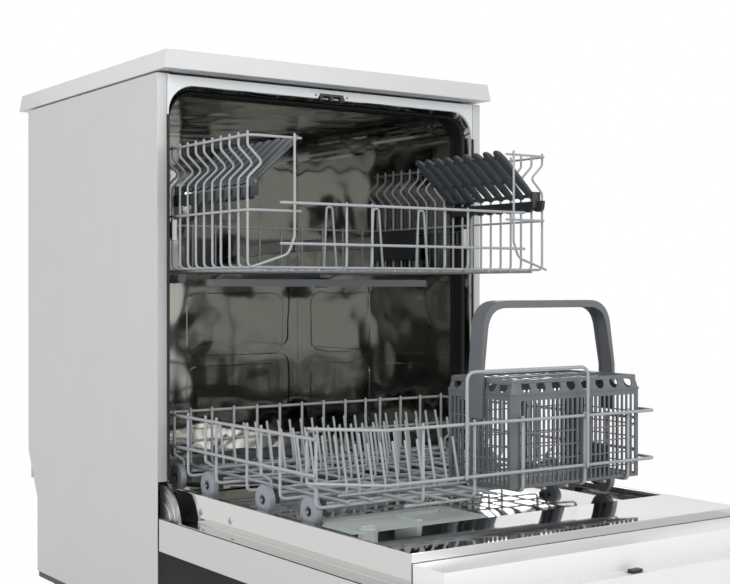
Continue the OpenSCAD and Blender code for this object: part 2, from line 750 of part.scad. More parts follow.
// Spray arm with a tapering blade on each side of its hub
module spray_arm(l, hub_h) difference() {
    union() {
        linear_extrude(arm_t) polygon([
            [-l / 2, -11], [-l / 2 + 8, -17], [-40, -arm_w / 2], [40, -arm_w / 2 + 8],
            [l / 2, 3], [l / 2, 11], [l / 2 - 8, 17], [40, arm_w / 2], [-40, arm_w / 2 - 8],
            [-l / 2, -3]]);
        cylinder(h = hub_h, r = arm_w / 2 - 4);
    }
    for (x = [70:30:l / 2 - 20], s = [-1, 1])
        translate([s * x, s * 6, arm_t - 1.5]) cylinder(h = 4, r = 2);
    children();
}

module lower_spray_arm() color("dimgray") from_front() translate([0, tub_mid_y, low_arm_z])
    spray_arm(low_arm_l, arm_t + 3)
        translate([0, 0, -1]) cylinder(h = arm_t + 2, r = hub_post_r + fit);

module rack_rails() color("silver") from_front() both_sides() {
    x1 = tub_half - gap;
    x0 = x1 - rail_w;
    h = roller_r + rail_play;
    block([x1 - rail_t, rail_near_y, roller_z - h - rail_t], [x1, rail_far_y, roller_z + h + rail_t]);
    for (s = [-1, 1]) block([x0, rail_near_y, roller_z + s * (h + rail_t / 2) - rail_t / 2],
        [x1, rail_far_y, roller_z + s * (h + rail_t / 2) + rail_t / 2]);
    block([x0, rail_near_y - 5, roller_z - h - rail_t - 4],
        [x1, rail_near_y, roller_z + h + rail_t + 4]);
}

module hinge_arms() color("silver") from_front() both_sides()
    difference() {
        solid_yz(arm_in_x, arm_in_x + arm_plate_t) {
            intersection() {
                translate([plate_y, hinge_z]) circle(hinge_plate_r);
                translate([plate_y - hinge_plate_r, hinge_z - 8])
                    square([hinge_plate_r + 6, hinge_plate_r + 10]);
            }
            translate([hinge_y - 160, hinge_z - 8]) square([160, 14]);
        }
        translate([arm_in_x - 1, hinge_y, hinge_z]) rotate([0, 90, 0])
            cylinder(h = arm_plate_t + 2, r = hinge_pin_r + fit);
    }

module door_outer_panel() color("lightgray") from_front() difference() {
    block([-door_half, fascia_y + gap, shell_z], [door_half, door_near_y, shell_top_z]);
    block([-door_half + skin_t, fascia_y + gap + skin_t, shell_z + skin_t],
        [door_half - skin_t, door_near_y - skin_t, shell_top_z + 1]);
    both_sides() block([tub_half + 6, door_near_y - 5, shell_z + skin_t],
        [door_half - skin_t, door_near_y + 1, shell_top_z + 1]);
}

module door_liner() color("silver") from_front() {
    top_z = shell_top_z + liner_h;
    difference() {
        block([-liner_half, liner_far_y, shell_top_z + gap], [liner_half, liner_near_y, top_z]);
        block([-liner_half + liner_bead_w, liner_step_y, liner_z],
            [liner_half - liner_bead_w, liner_near_y + 1, top_z + 1]);
        block([-liner_half + sheet_t, liner_far_y + sheet_t, shell_top_z - 1],
            [liner_half - sheet_t, liner_near_y - sheet_t, liner_z - sheet_t]);
        block([-liner_half + sheet_t, liner_far_y + sheet_t, shell_top_z - 1],
            [liner_half - sheet_t, liner_step_y - sheet_t, top_z - sheet_t]);
        block([dispenser_x - dispenser_l / 2 - gap, dispenser_y - dispenser_w / 2 - gap,
            liner_z - sheet_t - 1], [dispenser_x + dispenser_l / 2 + gap,
            dispenser_y + dispenser_w / 2 + gap, liner_z + 1]);
    }
    both_sides() block([liner_half - sheet_t, liner_far_y, shell_top_z + gap],
        [door_half - skin_t - gap, plate_y - hinge_plate_r - 10, shell_top_z + gap + sheet_t]);
}

module control_fascia() color("whitesmoke") from_front() {
    step_half = tub_half - 2;
    step_y = door_far_y + fascia_step_l;
    difference() {
        union() {
            block([-door_half, door_far_y, shell_z], [door_half, fascia_y, shell_top_z]);
            block([-step_half, step_y, shell_top_z], [step_half, fascia_y,
                shell_top_z + fascia_step_h]);
        }
        difference() {
            block([-door_half + fascia_t, door_far_y + fascia_t, shell_z + fascia_t],
                [door_half - fascia_t, fascia_y - fascia_t, shell_top_z - fascia_t]);
            block([-grip_w / 2 - fascia_t, step_y, shell_z], [grip_w / 2 + fascia_t,
                step_y + grip_l + 2 * fascia_t, shell_z + grip_d + fascia_t]);
        }
        block([-grip_w / 2, step_y + fascia_t, shell_z - 1],
            [grip_w / 2, step_y + fascia_t + grip_l, shell_z + grip_d]);
        block([-step_half + fascia_t, step_y + fascia_t, shell_top_z - 1],
            [step_half - fascia_t, fascia_y - fascia_t, shell_top_z + fascia_step_h - fascia_t]);
        for (x = button_x) translate([x, button_y, shell_z - 1])
            cylinder(h = fascia_t + 2, r = button_r + gap);
        translate([dial_x, button_y + 20, shell_z - 1]) cylinder(h = fascia_t + 2, r = 6 + fit);
        block([-10, door_far_y + 4, shell_top_z - fascia_t - 1], [10, door_far_y + 18,
            shell_top_z + 1]);
    }
}

module push_button(x) color("silver") from_front() translate([x, button_y, shell_z]) {
    translate([0, 0, -button_travel - 1]) cylinder(h = fascia_t + button_travel + 3, r = button_r);
    translate([0, 0, fascia_t + gap]) cylinder(h = 2, r = button_r + 2);
}
module power_button() push_button(button_x[0]);
module start_button() push_button(button_x[1]);
module option_button() push_button(button_x[2]);

module programme_dial() color("silver") from_front() translate([dial_x, button_y + 20, shell_z]) {
    translate([0, 0, -14]) cylinder(h = 14 - gap, r = dial_r);
    translate([-2, 0, -16]) cube([4, dial_r - 2, 3]);
    translate([0, 0, -1]) cylinder(h = fascia_t + 8, r = 6);
    translate([0, 0, fascia_t + gap]) cylinder(h = 3, r = 9);
}

module door_latch() color("dimgray") from_front() {
    y = door_far_y + 11;
    translate([-8, y, shell_top_z - 12]) rotate([0, 90, 0]) cylinder(h = 16, r = 3);
    block([-8, y - 2.5, shell_top_z - 12], [8, y + 2.5, shell_top_z + 4]);
    block([-8, y - 6, shell_top_z + 1], [8, y + 2.5, shell_top_z + 4]);
}

module dispenser_body() color("darkgray") from_front() {
    a = [dispenser_x - dispenser_l / 2, dispenser_y - dispenser_w / 2];
    b = [dispenser_x + dispenser_l / 2, dispenser_y + dispenser_w / 2];
    top_z = liner_z + dispenser_h;
    lid_x = a[0] + 30;
    difference() {
        union() {
            translate([0, 0, liner_z + gap]) linear_extrude(dispenser_h - gap) {
                round_rect(a - [1, 1] * dispenser_rim, b + [1, 1] * dispenser_rim, 14);
                round_rect([-liner_half + liner_bead_w + 4, a[1] - dispenser_rim],
                    [a[0] + 60, wheel_y[0] - wheel_r - 5], 14);
            }
            block([a[0], a[1], shell_top_z + 8], [b[0], b[1], liner_z + gap]);
        }
        block([lid_x, dispenser_y - 30, top_z - 4],
            [lid_x + lid_l + lid_travel + 1, dispenser_y + 34, top_z + 1]);
        block([lid_x + 6, dispenser_y - 24, top_z - 24], [lid_x + lid_l - 8, dispenser_y + 28,
            top_z]);
        translate([a[0] + cap_in, a[1] + cap_in, top_z - 16]) cylinder(h = 17, r = cap_r - 2);
    }
}

module dispenser_lid() color("silver") from_front() {
    top_z = liner_z + dispenser_h;
    x = dispenser_x - dispenser_l / 2 + 30;
    block([x + gap, dispenser_y - 30 + gap, top_z - 4 + gap],
        [x + lid_l, dispenser_y + 34 - gap, top_z - 1]);
    block([x + lid_l - 16, dispenser_y - 22, top_z - 1], [x + lid_l - 8, dispenser_y + 26,
        top_z + 1.5]);
}

module rinse_aid_cap() color("gray") from_front()
    translate([dispenser_x - dispenser_l / 2 + cap_in, dispenser_y - dispenser_w / 2 + cap_in,
        liner_z + dispenser_h]) {
        translate([0, 0, gap]) cylinder(h = 3.5, r = cap_r);
        translate([0, 0, -10]) cylinder(h = 11, r = cap_r - 2 - fit);
        block([-9, -1.5, 3], [9, 1.5, 5.5]);
    }

// Side wires of the lower rack, on the left at side = -1
module lower_side(side) {
    end_y = side < 0 ? low_side_end_y : low_front_y + low_return - 8;
    d = low_wire;
    top_z = low_rim_z + low_top_tip;
    for (z = [low_mid_z, low_rim_z])
        wire_y(side * low_rim_x, end_y - d / 2, low_rear + rim_off - 0.05, z, d);
    for (y = low_uprights) wire_z(side * low_half, y, low_floor_z - d / 2, top_z, d);
    wire_z(side * low_half, low_rear, low_floor_z - d / 2, top_z, d);
    for (y = wheel_y) bent_xz([[side * low_half, top_z], [side * low_half, wheel_z + 34],
        [side * clip_x, wheel_z + 24], [side * clip_x, low_floor_z - d / 2]], y, d);
}
module lower_rack_sides() color("lightgray") from_front() { lower_side(-1); lower_side(1); }

// Front and rear wires of the lower rack, with the guard before the cutlery basket
module lower_rack_ends() color("lightgray") from_front() {
    d = low_wire;
    c = low_chamfer;
    rim = [[-low_rim_x - rim_off, low_side_end_y + 8], [-low_rim_x - rim_off, low_side_end_y],
        [-low_half + c - 22, low_rim_front_y + 10], [-low_half + c, low_rim_front_y],
        [low_rim_x - 6, low_rim_front_y], [low_rim_x + rim_off, low_rim_front_y + 10],
        [low_rim_x + rim_off, low_rim_front_y + low_return]];
    for (z = [low_front_mid_z, low_front_rim_z]) bent_xy(rim, z, d);
    for (x = low_front_x) wire_z(x, low_front_y, low_floor_z - d / 2, low_front_rim_z + 5, d);
    bent_xz([[guard_x[0], low_front_mid_z - 3], [guard_x[0], guard_z - 12],
        [guard_x[0] + 12, guard_z], [guard_x[1] - 12, guard_z], [guard_x[1], guard_z - 12],
        [guard_x[1], low_front_mid_z - 3]], low_rim_front_y - rim_off, d);
    for (z = [low_mid_z, low_rim_z])
        wire_x(-low_rim_x - d / 2, low_rim_x + d / 2, low_rear + rim_off + d / 2, z, d);
    for (x = low_long_x) wire_z(x, low_rear + d / 2, low_floor_z - d / 2, low_rim_z + 5, d);
}

module lower_rack_floor() color("lightgray") from_front() {
    d = low_wire;
    e = low_half - d / 2 - 0.05;
    for (y = low_uprights) wire_x(-e, e, y, low_floor_z, d);
    for (y = [low_rear - 0.1]) wire_x(-e, e, y - d / 2, low_floor_z, d);
    for (y = wheel_y) wire_x(-clip_x + d / 2 + 0.05, clip_x - d / 2 - 0.05, y, low_floor_z, d);
    wire_x(low_front_x[0] - 20, low_front_x[1] + 3, low_front_y + d + 8, low_floor_z, d);
    for (x = low_long_x) {
        near_y = x < low_front_x[0] - 1 ? low_side_end_y - 6 : low_front_y + d / 2 + 0.05;
        wire_y(x, near_y, low_rear - 0.05, low_long_z, d);
    }
}

module plate_tines() color("lightgray") from_front() for (i = [0:3]) {
    d = low_wire - 0.6;
    z = low_long_z + low_wire / 2 + d / 2;
    wire_x(tine_left_x - 14, tine_right_x[i] + 14, tine_rows[i], z, d);
    for (x = [tine_left_x:tine_pitch:tine_right_x[i]])
        bent_yz([[tine_rows[i], z - d / 2], [tine_rows[i], z + 10],
            [tine_rows[i] + 12, z + tine_h]], x, d);
}

// Clips on the rack that carry the wheels' axles
module wheel_clips() color("gray") from_front() both_sides() for (y = wheel_y) {
    x = clip_x - low_wire / 2 - gap / 2;
    difference() {
        block([x - 7, y - 6.5, wheel_z - 6], [x, y + 6.5, low_floor_z + 6]);
        wire_x(x - 8, x + 1, y, low_floor_z, low_wire + 0.1);
    }
    translate([x - 1, y, wheel_z]) rotate([0, 90, 0])
        cylinder(h = wheel_out_x - x + 2, r = axle_r);
}

// Pair of wheels on one line across the rack
module wheel_pair(i) color("slategray") from_front() both_sides()
    translate([wheel_in_x, wheel_y[i], wheel_z]) rotate([0, 90, 0]) difference() {
        cylinder(h = wheel_w, r = wheel_r);
        translate([0, 0, wheel_w - 3]) difference() {
            cylinder(h = 4, r = wheel_r - 5);
            cylinder(h = 2, r = axle_r + 4);
        }
        translate([0, 0, -1]) cylinder(h = wheel_w + 2, r = axle_r + fit);
    }
module wheels_1() wheel_pair(0);
module wheels_2() wheel_pair(1);
module wheels_3() wheel_pair(2);
module wheels_4() wheel_pair(3);

// Slotted wall of the basket, drawn flat, of length l
module slotted_wall(l) difference() {
    square([l, cutlery_h]);
    n = floor((l - 10) / slot_pitch);
    side = (l - n * slot_pitch) / 2;
    rows = 2;
    row_h = (cutlery_h - band_h - 14) / rows;
    for (i = [0:n - 1], j = [0:rows - 1])
        translate([side + (i + 0.25) * slot_pitch, 6 + j * row_h])
            square([slot_pitch * 0.6, row_h - 4]);
    holes = floor((l - 10) / 24);
    for (i = [0:holes - 1]) translate([l / 2 + (i - (holes - 1) / 2) * 24, cutlery_h - band_h / 2])
        circle(6);
}

// Space for the front wheel in the basket's lower corner, wider all round by t
module wheel_space(t) block([notch_x - t, wheel_y[0] - notch_half - t, cutlery_z - 1],
    [cutlery_right_x + 5, wheel_y[0] + notch_half + t, notch_top_z + t]);

// Floor of the basket
module cutlery_basket() color("darkslategray") from_front() difference() {
    x0 = cutlery_x + cutlery_t;
    translate([0, 0, cutlery_z]) linear_extrude(cutlery_t) difference() {
        translate([x0, cutlery_y + cutlery_t])
            square([cutlery_l - 2 * cutlery_t, cutlery_w - 2 * cutlery_t]);
        for (x = [x0 + 8:slot_pitch:cutlery_right_x - 18], y = [cutlery_y + 10, handle_y + 4])
            translate([x, y]) square([slot_pitch * 0.6, cutlery_w / 2 - 14]);
    }
    wheel_space(cutlery_t);
}

// Front and rear wall of the basket, and the bar between its two lids
module basket_long_walls() color("darkslategray") from_front() {
    x0 = cutlery_x;
    x1 = cutlery_right_x;
    z = cutlery_top_z - band_h - 2;
    translate([0, handle_y, 0]) for (side = [0, 1]) mirror([0, side, 0]) {
        solid_xz(-cutlery_w / 2, cutlery_t - cutlery_w / 2) translate([x0, cutlery_z])
            slotted_wall(cutlery_l);
        block([x0 - band_ledge, -cutlery_w / 2 - band_ledge, z],
            [x1 + band_ledge, -cutlery_w / 2, z + 2]);
    }
    block([x0 + lid_inset, handle_y - lid_bar_w / 2 + gap, cutlery_top_z - 7],
        [x1 - lid_inset, handle_y + lid_bar_w / 2 - gap, cutlery_top_z]);
}

// Left and right wall of the basket with the ledges that carry the lids
module basket_end_walls() color("darkslategray") from_front() difference() {
    union() {
        both_sides_of_basket() basket_end_wall();
        intersection() {
            wheel_space(cutlery_t);
            block([cutlery_x, cutlery_y + cutlery_t, cutlery_z],
                [cutlery_right_x, cutlery_rear_y - cutlery_t, cutlery_top_z]);
        }
    }
    wheel_space(0);
}

module basket_end_wall() {
    x = cutlery_x;
    y0 = cutlery_y + cutlery_t;
    y1 = cutlery_rear_y - cutlery_t;
    z = cutlery_top_z - band_h - 2;
    solid_yz(x, x + cutlery_t) translate([y0, cutlery_z]) slotted_wall(y1 - y0);
    difference() {
        block([x + cutlery_t / 2, y0, cutlery_top_z - 7], [x + lid_inset, y1, cutlery_top_z]);
        for (side = [-1, 1]) translate([x + lid_inset - 5, handle_y
            + side * (cutlery_w / 2 - cutlery_t - lid_pin_in), lid_pin_z]) rotate([0, 90, 0])
                cylinder(h = 10, r = lid_pin_r + fit);
    }
    difference() {
        block([x - band_ledge, cutlery_y, z], [x + 1, cutlery_rear_y, z + 2]);
        block([x, cutlery_y - 1, z - 1], [x + 2, y0, z + 3]);
        block([x, y1, z - 1], [x + 2, cutlery_rear_y + 1, z + 3]);
        block([x - strap_t, handle_y - strap_w / 2 - 0.5, z - 1],
            [x, handle_y + strap_w / 2 + 0.5, z + 3]);
    }
}

// Copies at both short sides of the cutlery basket
module both_sides_of_basket() {
    mid_x = cutlery_x + cutlery_l / 2;
    children();
    translate([mid_x, 0, 0]) mirror([1, 0, 0]) translate([-mid_x, 0, 0]) children();
}

module basket_handle() color("darkslategray") from_front() {
    w = strap_t / 2;
    x0 = cutlery_x - w - 0.1;
    x1 = cutlery_right_x + w + 0.1;
    z = handle_top_z - w;
    lean = 12;
    translate([0, handle_y + strap_w / 2, 0]) rotate([90, 0, 0]) linear_extrude(strap_w)
        polygon(strip([[x0, cutlery_z + 88], [x0, cutlery_top_z + 4], [x0 + lean, z - 26],
            [x0 + lean + 8, z - 8], [x0 + lean + 26, z], [x1 - lean - 26, z],
            [x1 - lean - 8, z - 8], [x1 - lean, z - 26], [x1, cutlery_top_z + 4],
            [x1, cutlery_z + 88]], w));
}

// Slotted lid over one half of the basket, hinged along the basket's long side
module basket_lid(side) color("darkslategray") from_front() {
    x0 = cutlery_x + lid_inset;
    x1 = cutlery_right_x - lid_inset;
    translate([0, handle_y, lid_pin_z]) mirror([0, side, 0]) {
        y0 = lid_bar_w / 2;
        y1 = cutlery_w / 2 - cutlery_t - lid_pin_in;
        translate([0, 0, -lid_t / 2]) linear_extrude(lid_t) difference() {
            translate([x0 + gap, y0]) square([x1 - x0 - 2 * gap, y1 - y0]);
            for (x = [x0 + 8:20:x1 - 18], y = [y0 + 5:26:y1 - 22])
                translate([x, y]) square([9, 20]);
        }
        translate([x0 - 4, y1, 0]) rotate([0, 90, 0]) cylinder(h = x1 - x0 + 8, r = lid_pin_r);
    }
}
module basket_lid_front() basket_lid(1);
module basket_lid_rear() basket_lid(0);

// Kinked side wire of the upper rack, on the left at side = -1
function kinked(side) = [[side * up_half, up_rim_z + up_tip], [side * up_half, kink_top_z],
    [side * (up_half - kink_in), kink_top_z - kink_in + 1],
    [side * (up_half - kink_in), kink_top_z - kink_in - kink_flat],
    [side * up_half, kink_foot_z], [side * up_half, up_floor_z - up_wire / 2]];

module upper_side(side) {
    d = up_wire;
    for (y = up_side_y) bent_xz(kinked(side), y, d);
    wire_y(side * up_rim_x, up_front_y, up_rear_y, up_rim_z, d);
    wire_y(side * up_rim_x, up_front_y, up_rear_y, up_mid_z, d);
    comb_y = [up_side_y[0] - 9, shelf_far_y + 16];
    x0 = up_half - d / 2 - comb_t;
    x1 = up_half - d / 2 + weld;
    s = side < 0 ? -1 : 1;
    scale_x = s < 0 ? [1, 0, 0] : [0, 0, 0];
    mirror(scale_x) {
        block([x0, comb_y[0], comb_z], [x1, comb_y[1], comb_z + comb_h]);
        for (y = [shelf_near_y - 8 - shelf_ear_t, shelf_far_y + 8]) difference() {
            block([axle_x - 6, y, comb_z], [x1 - weld, y + shelf_ear_t, axle_z + 6]);
            translate([axle_x, y - 1, axle_z]) rotate([-90, 0, 0])
                cylinder(h = shelf_ear_t + 2, r = shelf_axle_r + fit);
        }
        block([x0, up_side_y[13] - 2, roller_z - 12], [x1, up_side_y[18] + 2, roller_z + 12]);
        for (y = roller_y) translate([0, y, roller_z]) rotate([0, 90, 0]) {
            translate([0, 0, x0]) cylinder(h = roller_out_x - x0, r = 3);
            translate([0, 0, roller_out_x - roller_w]) cylinder(h = roller_w, r = roller_r);
        }
    }
}
module upper_rack_sides() color("lightgray") from_front() { upper_side(-1); upper_side(1); }

module upper_rack_ends() color("lightgray") from_front() {
    d = up_wire;
    y = up_front_y - d / 2;
    foot_z = up_long_z - d / 2;
    for (z = [up_front_mid_z, up_front_rim_z])
        wire_x(-front_rim_reach, front_rim_reach, y - up_off, z, d + 0.6);
    both_sides() {
        for (z = [up_mid_z, up_rim_z]) wire_x(front_stub_x, up_rim_x + d / 2, y, z, d);
        bent_xz([[up_post_x, up_rim_z + up_tip], [up_post_x, up_front_mid_z + 10],
            [up_post_x + 10, up_floor_z + 18], [up_half, up_floor_z]], y - up_off + 0.2, d);
    }
    for (x = up_front_x) wire_z(x, y, foot_z, up_front_rim_z + 4, d);
    wire_x(-up_rim_x - d / 2, up_rim_x + d / 2, up_rear_y + d / 2, up_mid_z, d);
    for (x = up_long_x) wire_z(x, up_rear_y + d / 2, foot_z, up_mid_z + 4, d);
}

module upper_rack_floor() color("lightgray") from_front() {
    d = up_wire;
    e = up_half - d / 2 - 0.05;
    for (y = up_side_y) wire_x(-e, e, y, up_floor_z, d);
    for (x = up_long_x) wire_y(x, up_front_y + 0.05, up_rear_y - 0.05, up_long_z, d);
    block([-up_pipe_w / 2, up_arm_y - 14, up_pipe_z - up_pipe_h],
        [up_pipe_w / 2, up_rear_y + 6, up_pipe_z]);
    block([-up_pipe_w / 2, up_arm_y - 14, up_pipe_z - 1],
        [up_pipe_w / 2, up_rear_y - 10, up_pipe_z + gap + weld]);
    translate([0, up_arm_y, up_arm_z - 2]) cylinder(h = up_pipe_z - up_arm_z, r = hub_post_r);
}

// Fingers of a cup shelf on one axle, on the right
module cup_shelf() color("dimgray") from_front() translate([axle_x, 0, axle_z]) rotate([0, shelf_tilt, 0]) {
    len_y = shelf_far_y - shelf_near_y;
    translate([0, shelf_near_y - 12, 0]) rotate([-90, 0, 0]) cylinder(h = len_y + 24, r = shelf_axle_r);
    for (k = [0:fingers - 1]) translate([0, shelf_near_y + k * up_pitch, 0])
        block([-finger_l, -finger_w / 2, -finger_t / 2], [0, finger_w / 2, finger_t / 2]);
    for (x = [-finger_l + 14, -34]) block([x - 3, shelf_near_y, -1.5], [x + 3, shelf_far_y, 1.5]);
}
module cup_shelf_left() mirror([1, 0, 0]) cup_shelf();
module cup_shelf_right() cup_shelf();

module upper_spray_arm() color("dimgray") from_front() translate([0, up_arm_y, up_arm_z])
    spray_arm(up_arm_l, arm_t)
        translate([0, 0, -1]) cylinder(h = arm_t + 2, r = hub_post_r + fit);

worktop_board();
worktop_edging();
side_panels();
rear_panel();
base_tray();
plinth();
foot_front_left();
foot_front_right();
rear_feet();
pumps();
inlet_valve();
door_springs();
hinge_brackets();
supply_duct();
tub_sides();
tub_ceiling();
tub_rear();
tub_floor();
tub_flange();
side_seals();
door_striker();
sump();
filter_cup();
heater();
salt_cap();
lower_spray_arm();
rack_rails();
hinge_arms();
door_outer_panel();
door_liner();
control_fascia();
programme_dial();
power_button();
start_button();
option_button();
door_latch();
dispenser_body();
dispenser_lid();
rinse_aid_cap();
lower_rack_sides();
lower_rack_ends();
lower_rack_floor();
plate_tines();
wheel_clips();
wheels_1();
wheels_2();
wheels_3();
wheels_4();
cutlery_basket();
basket_long_walls();
basket_end_walls();
basket_handle();
basket_lid_front();
basket_lid_rear();
upper_rack_sides();
upper_rack_ends();
upper_rack_floor();
cup_shelf_left();
cup_shelf_right();
upper_spray_arm();
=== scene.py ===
# %% [markdown]
# # A freestanding dishwasher, open, with both racks drawn out
#
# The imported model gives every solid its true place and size. This script keeps those solids
# and puts the looks on them: round plastic-coated wires, moulded baskets, pressed stainless
# sheet and painted steel. Lengths are written in millimetres, as on a drawing, and one small
# function turns them into Blender's metres.

# %% Load the frame
import json
import math

import bmesh
import bpy
from mathutils import Matrix, Vector


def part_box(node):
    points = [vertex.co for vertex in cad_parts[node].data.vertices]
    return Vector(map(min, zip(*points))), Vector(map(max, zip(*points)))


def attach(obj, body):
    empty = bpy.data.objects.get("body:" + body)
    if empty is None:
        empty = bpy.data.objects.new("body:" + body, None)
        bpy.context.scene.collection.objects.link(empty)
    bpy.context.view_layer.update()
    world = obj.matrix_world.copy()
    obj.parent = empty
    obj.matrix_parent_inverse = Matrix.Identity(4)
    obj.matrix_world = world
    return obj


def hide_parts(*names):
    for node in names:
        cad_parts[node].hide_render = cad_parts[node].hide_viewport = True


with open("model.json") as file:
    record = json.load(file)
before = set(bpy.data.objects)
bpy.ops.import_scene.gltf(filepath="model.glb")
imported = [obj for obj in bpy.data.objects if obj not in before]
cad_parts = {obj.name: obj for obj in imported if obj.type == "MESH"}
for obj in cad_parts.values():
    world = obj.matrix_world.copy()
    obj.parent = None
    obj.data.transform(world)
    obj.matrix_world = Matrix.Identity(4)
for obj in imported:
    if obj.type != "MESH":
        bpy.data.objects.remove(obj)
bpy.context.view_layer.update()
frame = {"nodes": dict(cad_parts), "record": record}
front_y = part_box("side_panels")[0].y
body_of = {node: body for body, nodes in frame["record"]["behaviour"]["bodies"].items()
           for node in nodes}

# %% [markdown]
# ## Two small helpers
#
# Depths are measured from the cabinet's front plane, because that is where racks, door and
# worktop all start. `at` takes such a point in millimetres and gives the place in the scene.

# %% Points in millimetres
def at(x, y, z):
    """A point in millimetres, measured from the floor and the cabinet's front plane."""
    return Vector((x / 1000, y / 1000 + front_y, z / 1000))


print("front plane at y =", round(front_y, 4), "m")

# %% [markdown]
# ## Camera
#
# The photograph was taken level, from the front left, with a short telephoto view. The place
# and the lens were worked out from the corners of worktop, cabinet and door.

# %% Camera
SENSOR_WIDTH, LENS = 36, 65.11
CAMERA_PLACE = (-1132.84, -1720.28, 510.49)
TILT_DOWN, TURN_RIGHT = 0.0032, 0.60745

camera_data = bpy.data.cameras.new("camera")
camera_data.sensor_width = SENSOR_WIDTH
camera_data.lens = LENS
camera = bpy.data.objects.new("camera", camera_data)
camera.location = at(*CAMERA_PLACE)
camera.rotation_euler = (math.radians(90) - TILT_DOWN, 0, -TURN_RIGHT)
bpy.context.scene.collection.objects.link(camera)
bpy.context.scene.camera = camera
print("camera at", [round(v, 3) for v in camera.location], "lens", camera_data.lens)

# %% [markdown]
# ## Floor, world and lamps
#
# A product picture on white has one trick: the background is white because its colour is
# white, and not because the lamps are strong. Light Path tells the shader when the camera or a
# mirror looks at the background, and only then it turns white. What lights the object stays at
# a plain level.

# %% Floor and world
def add_node(tree, kind, values=None, **settings):
    """Adds a node: settings are its properties, and values set its inputs or link sockets."""
    node = tree.nodes.new(kind)
    for name, value in settings.items():
        setattr(node, name, value)
    for name, value in (values or {}).items():
        if isinstance(value, bpy.types.NodeSocket):
            tree.links.new(value, node.inputs[name])
        else:
            node.inputs[name].default_value = value
    return node


def seen_directly(tree):
    """1 where the camera, a mirror or glass looks at the background, and 0 where it lights."""
    path = add_node(tree, "ShaderNodeLightPath")
    some = add_node(tree, "ShaderNodeMath", {0: path.outputs["Is Camera Ray"],
                    1: path.outputs["Is Glossy Ray"]}, operation="MAXIMUM")
    return add_node(tree, "ShaderNodeMath", {0: some.outputs[0],
                    1: path.outputs["Is Transmission Ray"]}, operation="MAXIMUM").outputs[0]


# The world's share of the light on the object, the share of plain white over the floor's own
# shade where it is looked at, and half the floor's side in metres.
WORLD_LIGHT, FLOOR_WHITE, FLOOR_HALF = 0.62, 0.97, 6

world = bpy.data.worlds.new("studio")
world.use_nodes = True
world_tree = world.node_tree
background = world_tree.nodes["Background"]
strength = add_node(world_tree, "ShaderNodeMapRange",
                    {"Value": seen_directly(world_tree), "To Min": WORLD_LIGHT, "To Max": 1.0})
world_tree.links.new(strength.outputs[0], background.inputs["Strength"])
background.inputs["Color"].default_value = (1, 1, 1, 1)
bpy.context.scene.world = world

floor_mesh = bpy.data.meshes.new("floor")
floor_mesh.from_pydata([(x * FLOOR_HALF, y * FLOOR_HALF, 0)
                        for x, y in ((-1, -1), (1, -1), (1, 1), (-1, 1))], [], [(0, 1, 2, 3)])
floor = bpy.data.objects.new("floor", floor_mesh)
bpy.context.scene.collection.objects.link(floor)
floor_paint = bpy.data.materials.new("floor_paint")
floor_paint.use_nodes = True
floor_tree = floor_paint.node_tree
matt = floor_tree.nodes["Principled BSDF"]
matt.inputs["Base Color"].default_value = (0.9, 0.9, 0.9, 1)
matt.inputs["Roughness"].default_value = 0.8
white = add_node(floor_tree, "ShaderNodeEmission", {"Color": (1, 1, 1, 1), "Strength": 1.0})
share = add_node(floor_tree, "ShaderNodeMath",
                 {0: seen_directly(floor_tree), 1: FLOOR_WHITE}, operation="MULTIPLY")
paper = add_node(floor_tree, "ShaderNodeMixShader", {0: share.outputs[0], 1: matt.outputs[0],
                 2: white.outputs[0]})
floor_tree.links.new(paper.outputs[0], floor_tree.nodes["Material Output"].inputs["Surface"])
floor_mesh.materials.append(floor_paint)
bpy.context.scene.view_settings.view_transform = "Standard"
print("floor and world ready")

# %% [markdown]
# Four square lamps stand round the machine like softboxes. One small lamp would be simpler, but
# its hard shadow would hide the racks, and a broad one also gives the steel a soft shape to
# mirror.

# %% Lamps
def softbox(name, place, aim, size, watts):
    """A square studio lamp at one point, turned towards another: all in metres and watts."""
    light = bpy.data.lights.new(name, "AREA")
    light.size = size
    light.energy = watts
    lamp = bpy.data.objects.new(name, light)
    lamp.location = place
    lamp.rotation_euler = (Vector(aim) - Vector(place)).to_track_quat("-Z", "Y").to_euler()
    bpy.context.scene.collection.objects.link(lamp)


softbox("key_lamp", (-2.7, -1.5, 2.0), (0, 0, 0.5), 1.6, 52)
softbox("front_lamp", (0.9, -3.0, 1.5), (0, 0, 0.4), 1.6, 30)
softbox("top_lamp", (0.2, 0.2, 3.0), (0, 0, 0.8), 2.0, 4)
softbox("rear_lamp", (1.8, 2.6, 1.7), (0, 0, 0.5), 1.6, 26)

# %% [markdown]
# ## Materials
#
# Each finish starts from the real stuff. Colours are written as sRGB hex values, and one
# function turns them linear, because shaders calculate in linear light.

# %% Colours and a base for every finish
def linear(code):
    """The linear RGBA of an sRGB hex colour."""
    parts = [int(code[i:i + 2], 16) / 255 for i in (1, 3, 5)]
    return [v / 12.92 if v <= 0.04045 else ((v + 0.055) / 1.055) ** 2.4 for v in parts] + [1.0]


def new_finish(name, colour, roughness, metallic=0.0, ior=None):
    """A material with its shader's plain numbers. Gives the material, its tree and shader."""
    material = bpy.data.materials.new(name)
    material.use_nodes = True
    tree = material.node_tree
    shader = tree.nodes["Principled BSDF"]
    shader.inputs["Base Color"].default_value = linear(colour)
    shader.inputs["Roughness"].default_value = roughness
    shader.inputs["Metallic"].default_value = metallic
    if ior:
        shader.inputs["IOR"].default_value = ior
    material.diffuse_color = linear(colour)
    return material, tree, shader


